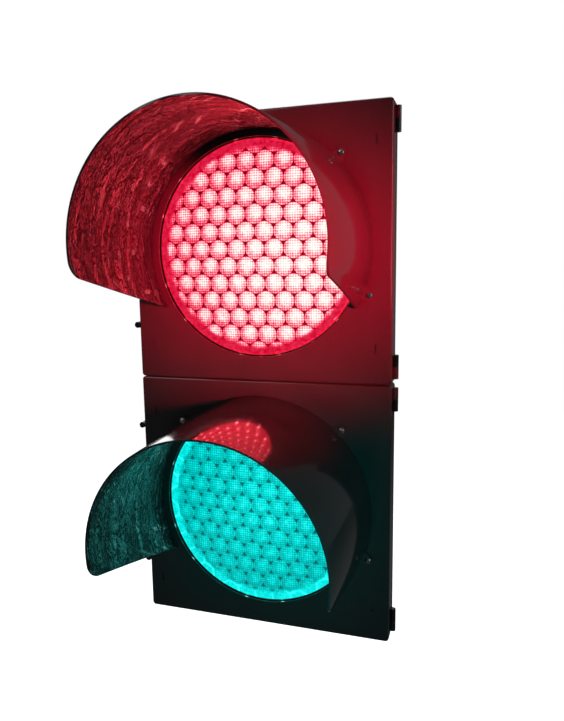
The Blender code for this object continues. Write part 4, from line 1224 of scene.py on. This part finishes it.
@dataclass
class HubFittings:
    """The blanking plug of the top hub and the cable grommet of the bottom one."""

    bore: float = 0.0257

    def build(self, shop: Assembly) -> None:
        """Model both fittings."""
        cap = TOP + HUB_HEIGHT + GAP
        profile = [(0, TOP - 0.006), (self.bore - 0.001, TOP - 0.006), (self.bore, TOP - 0.005),
                   (self.bore, cap), (0.0300, cap), (0.0300, cap + 0.0022), (0.0294, cap + 0.0033),
                   (0.0284, cap + 0.0039), (0.0200, cap + 0.0040), (0.0192, cap + 0.0032), (0, cap + 0.0032)]
        plug = Bench.turned("hub_plug_cap", profile, upright=True)
        slot = Bench.box("coin_slot", (-0.014, -0.0015, cap + 0.0012), (0.014, 0.0015, cap + 0.006))
        Bench.bevel(slot, running(Z, 0.001), 0.0012, 4)
        Bench.combine(plug, [slot], "DIFFERENCE")
        shop.fit(plug, "housing", "black_polycarbonate", ["top_hub_plug"])
        inside = 0.00945
        profile = [(0.0090, 0.0016), (0.0096, 0.0010), (0.0120, 0.0010), (0.0130, 0.0018), (0.0145, 0.0018),
                   (0.0155, 0.0010), (self.bore - 0.0006, 0.0010), (self.bore, 0.0016), (self.bore, inside),
                   (0.0314, inside), (0.0320, inside + 0.0006), (0.0320, inside + 0.0024),
                   (0.0314, inside + 0.0030), (0.0096, inside + 0.0030), (0.0090, inside + 0.0024)]
        grommet = Bench.turned("entry_grommet", profile, loop=True, upright=True)
        shop.fit(grommet, "housing", "black_rubber", ["cable_grommet"])


@dataclass
class Leads:
    """The sheathed lead of each module, which runs beside the hinge from the shell to its door."""

    radius: float = 0.0035
    spacing: float = 0.005

    def routes(self) -> dict[Section, tuple[list[tuple[float, float, float]], float, float]]:
        """Each lead's route, and the heights between which it passes from the shell to the door."""
        lower = [(0.020, 0.031, 0.1040), (0.024, 0.031, 0.1120), (0.070, 0.029, 0.1200),
                 (0.128, 0.020, 0.1230), (0.154, -0.010, 0.1380), (0.158, -0.025, 0.1560),
                 (0.150, -0.010, 0.1720)]
        upper = [(-0.020, 0.031, 0.1040), (-0.024, 0.031, 0.1120), (-0.060, 0.030, 0.1600),
                 (-0.070, 0.030, 0.2400), (-0.030, 0.020, 0.3050), (0.000, 0.000, 0.3450),
                 (0.000, 0.000, 0.3900), (0.040, 0.010, 0.4300), (0.110, 0.020, 0.4700),
                 (0.154, -0.010, 0.4980), (0.158, -0.025, 0.5160), (0.150, -0.010, 0.5320)]
        routes = {Section.LOWER: (lower, 0.142, 0.172), Section.UPPER: (upper, 0.502, 0.532)}
        for section, (route, _, _) in routes.items():
            mid = section.value
            route.extend([(0.105, 0.030, mid - 0.004), (0.062, 0.041, mid), (0.046, 0.034, mid),
                          (0.045, 0.027, mid), (0.045, 0.020, mid), (0.045, 0.010, mid)])
        return routes

    @staticmethod
    def _smooth(points: Sequence[Sequence[float]], spacing: float) -> list[Vector]:
        """Points along a smooth curve through the route, about the spacing apart."""
        route = [Vector(p) for p in points]
        padded = [route[0] * 2 - route[1]] + route + [route[-1] * 2 - route[-2]]
        result = []
        for a, b, c, d in zip(padded, padded[1:], padded[2:], padded[3:]):
            count = max(1, round((c - b).length / spacing))
            for i in range(count):
                t = i / count
                result.append(0.5 * (2 * b + (c - a) * t + (2 * a - 5 * b + 4 * c - d) * t ** 2
                                     + (3 * b - 3 * c + d - a) * t ** 3))
        result.append(route[-1])
        return result

    def build(self, shop: Assembly) -> None:
        """Model both leads as curves and make them meshes, fixed to no body."""
        for section, (points, start, end) in self.routes().items():
            name = f"{section.label}_sheathed_lead"
            curve = bpy.data.curves.new(name, "CURVE")
            curve.dimensions = "3D"
            curve.bevel_depth = self.radius
            curve.bevel_resolution = 4
            curve.use_fill_caps = True
            route = self._smooth(points, self.spacing)
            spline = curve.splines.new("POLY")
            spline.points.add(len(route) - 1)
            for target, source in zip(spline.points, route):
                target.co = (*source, 1.0)
            lead = bpy.data.objects.new(name, curve)
            bpy.context.scene.collection.objects.link(lead)
            Bench.take(lead)
            bpy.ops.object.convert(target="MESH")
            lead = bpy.context.view_layer.objects.active
            shop.fit(lead, None, "lead_sheath", [f"{section.label}_module_lead"], 60.0)
            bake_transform(lead)


class KeptNodes:
    """The CAD pieces whose own shapes are right."""

    SHARED = {
        "section_seal": "black_rubber",
        "coupling_tube": "stainless_steel",
        "coupling_nut_upper": "stainless_steel",
        "coupling_nut_lower": "stainless_steel",
        "terminal_block": "terminal_grey",
    }
    EACH = {
        "hinge_pin_top": "stainless_steel",
        "hinge_pin_bottom": "stainless_steel",
        "door_gasket": "black_rubber",
        "fresnel_lens": "clear_acrylic",
        "led_board": "circuit_board",
        "driver_board": "circuit_board",
        "cable_gland": "grey_plastic",
        "module_clip_1": "stainless_steel",
        "module_clip_2": "stainless_steel",
        "module_clip_3": "stainless_steel",
        "clip_screw_1": "stainless_steel",
        "clip_screw_2": "stainless_steel",
        "clip_screw_3": "stainless_steel",
    }

    def build(self, shop: Assembly) -> None:
        """Give every kept node its finish."""
        for node, slot in self.SHARED.items():
            shop.keep(node, slot)
        for section in Section:
            for node, slot in self.EACH.items():
                shop.keep(f"{section.label}_{node}", slot)


# ---- studio -------------------------------------------------------------------------------------------
@dataclass
class Studio:
    """The camera, the lights, the pale floor and the white surround."""

    eye: tuple[float, float, float] = (0.29615, -0.89559, 0.52043)
    yaw: float = 17.76
    pitch: float = -8.28
    roll: float = -0.84
    lens: float = 31.79
    floor: float = -0.45
    floor_tone: float = 0.16
    ambient: float = 0.075

    def build(self) -> None:
        """Set up the whole studio."""
        self._camera()
        self._surround()
        self._floor()
        self._light("key", (-1.1, -1.5, 1.9), (0, 0, 0.4), (1.1, 1.1), 6.0)
        self._light("side", (1.6, -0.30, 0.80), (0.15, 0, 0.45), (0.16, 0.9), 2.5)
        self._light("top", (0.1, 0.4, 2.0), (0, 0, 0.5), (1.2, 0.8), 9.0)
        self._light("back", (-1.0, 1.6, 1.1), (0, 0, 0.4), (1.0, 1.2), 12.0)

    def haze(self, pieces: Sequence[Shape]) -> None:
        """Let both lenses throw their colour over the given pieces."""
        red, green = (1.0, 0.010, 0.040), (0.0, 1.0, 0.85)
        self._glow("red_glow", (0.75, -0.85, 0.56), (0.10, -0.16, 0.535), red, 4600.0, 16.5, pieces)
        self._glow("green_glow", (0.25, -0.85, 0.20), (0.03, -0.1, 0.19), green, 60.0, 30.0, pieces)

    def _camera(self) -> None:
        """Stand the camera where it looks up the head's right side."""
        data = bpy.data.cameras.new("camera")
        data.lens = self.lens
        data.sensor_width = 36.0
        data.clip_start = 0.01
        camera = bpy.data.objects.new("camera", data)
        bpy.context.scene.collection.objects.link(camera)
        turn = Euler((math.radians(90 + self.pitch), 0, math.radians(self.yaw))).to_matrix().to_4x4()
        lean = Matrix.Rotation(math.radians(self.roll), 4, "Z")
        camera.matrix_world = Matrix.Translation(self.eye) @ turn @ lean
        bpy.context.scene.camera = camera

    def _surround(self) -> None:
        """A white surround that lights the head more softly than it looks."""
        world = bpy.data.worlds.new("surround")
        world.use_nodes = True
        tree = world.node_tree
        shader = Shader(tree)
        seen = tree.nodes["Background"]
        seen.inputs["Color"].default_value = (1, 1, 1, 1)
        seen.inputs["Strength"].default_value = 1.0
        lit = shader.node("ShaderNodeBackground", {"Color": (0.95, 0.97, 1.0, 1.0), "Strength": self.ambient})
        path = shader.node("ShaderNodeLightPath")
        both = shader.node("ShaderNodeMixShader", {0: path.outputs["Is Camera Ray"], 1: lit.outputs[0],
                                                   2: seen.outputs[0]})
        shader.feed(tree.nodes["World Output"].inputs["Surface"], both.outputs[0])
        bpy.context.scene.world = world
        bpy.context.scene.view_settings.view_transform = "Standard"

    def _floor(self) -> None:
        """A round pale floor under the head."""
        Bench.clear()
        bpy.ops.mesh.primitive_circle_add(vertices=96, radius=3.0, fill_type="NGON",
                                          location=(0, 0.6, self.floor))
        floor = Bench.settle("floor")
        material = bpy.data.materials.new("pale_floor")
        material.use_nodes = True
        shader = Shader(material.node_tree)
        surface = material.node_tree.nodes["Principled BSDF"]
        direct = shader.node("ShaderNodeLightPath").outputs["Is Camera Ray"]
        tone = rgba([self.floor_tone] * 3)
        shader.feed(surface.inputs["Base Color"], shader.mix(direct, tone, rgba((0.9, 0.9, 0.9))))
        surface.inputs["Roughness"].default_value = 0.9
        shader.feed(surface.inputs["Emission Color"], shader.mix(direct, rgba((0, 0, 0)), rgba((1, 1, 1))))
        surface.inputs["Emission Strength"].default_value = 1.0
        floor.data.materials.append(material)

    @staticmethod
    def _glow(name: str, place: Sequence[float], target: Sequence[float], color: tuple[float, float, float],
              power: float, cone: float, pieces: Sequence[Shape]) -> None:
        """Throw a lens's coloured haze over the front pieces, from a spot that gloss doesn't show.

        Args:
            name: The light's name.
            place: Where it stands.
            target: What it points at.
            color: Its colour.
            power: Its power.
            cone: The angle of its cone, in degrees.
            pieces: The pieces that it reaches.
        """
        data = bpy.data.lights.new(name, "SPOT")
        data.color = color
        data.energy = power
        data.spot_size = math.radians(cone)
        data.spot_blend = 1.0
        data.shadow_soft_size = 0.15
        light = Studio._stand(data, place, target)
        light.visible_glossy = False
        receivers = bpy.data.collections.new(f"{name}_receivers")
        for node in pieces:
            receivers.objects.link(node)
        light.light_linking.receiver_collection = receivers

    @staticmethod
    def _light(name: str, place: Sequence[float], target: Sequence[float], size: tuple[float, float],
               power: float) -> None:
        """Stand a soft rectangular light and aim it."""
        data = bpy.data.lights.new(name, "AREA")
        data.shape = "RECTANGLE"
        data.size, data.size_y = size
        data.energy = power
        Studio._stand(data, place, target)

    @staticmethod
    def _stand(data: bpy.types.Light, place: Sequence[float], target: Sequence[float]) -> bpy.types.Object:
        """Put a light in its place and aim it."""
        light = bpy.data.objects.new(data.name, data)
        bpy.context.scene.collection.objects.link(light)
        aim = (Vector(target) - Vector(place)).to_track_quat("-Z", "Y")
        light.matrix_world = Matrix.Translation(place) @ aim.to_matrix().to_4x4()
        return light


def main() -> None:
    """Build every sub-assembly in order."""
    logging.basicConfig(level=logging.INFO, format="%(name)s: %(message)s")
    studio = Studio()
    studio.build()
    shop = Assembly(Palette())
    front_pieces = []
    for section in Section:
        Housing(section).build(shop)
        front_pieces.append(Door(section).build(shop))
        front_pieces.append(Visor(section).build(shop))
        LensUnit(section, "red_lens" if section is Section.UPPER else "green_lens").build(shop)
        ModuleCase(section).build(shop)
    Screws().build(shop)
    LatchScrew().build(shop)
    HubFittings().build(shop)
    Leads().build(shop)
    KeptNodes().build(shop)
    studio.haze(front_pieces)


if __name__ == "__main__":
    main()
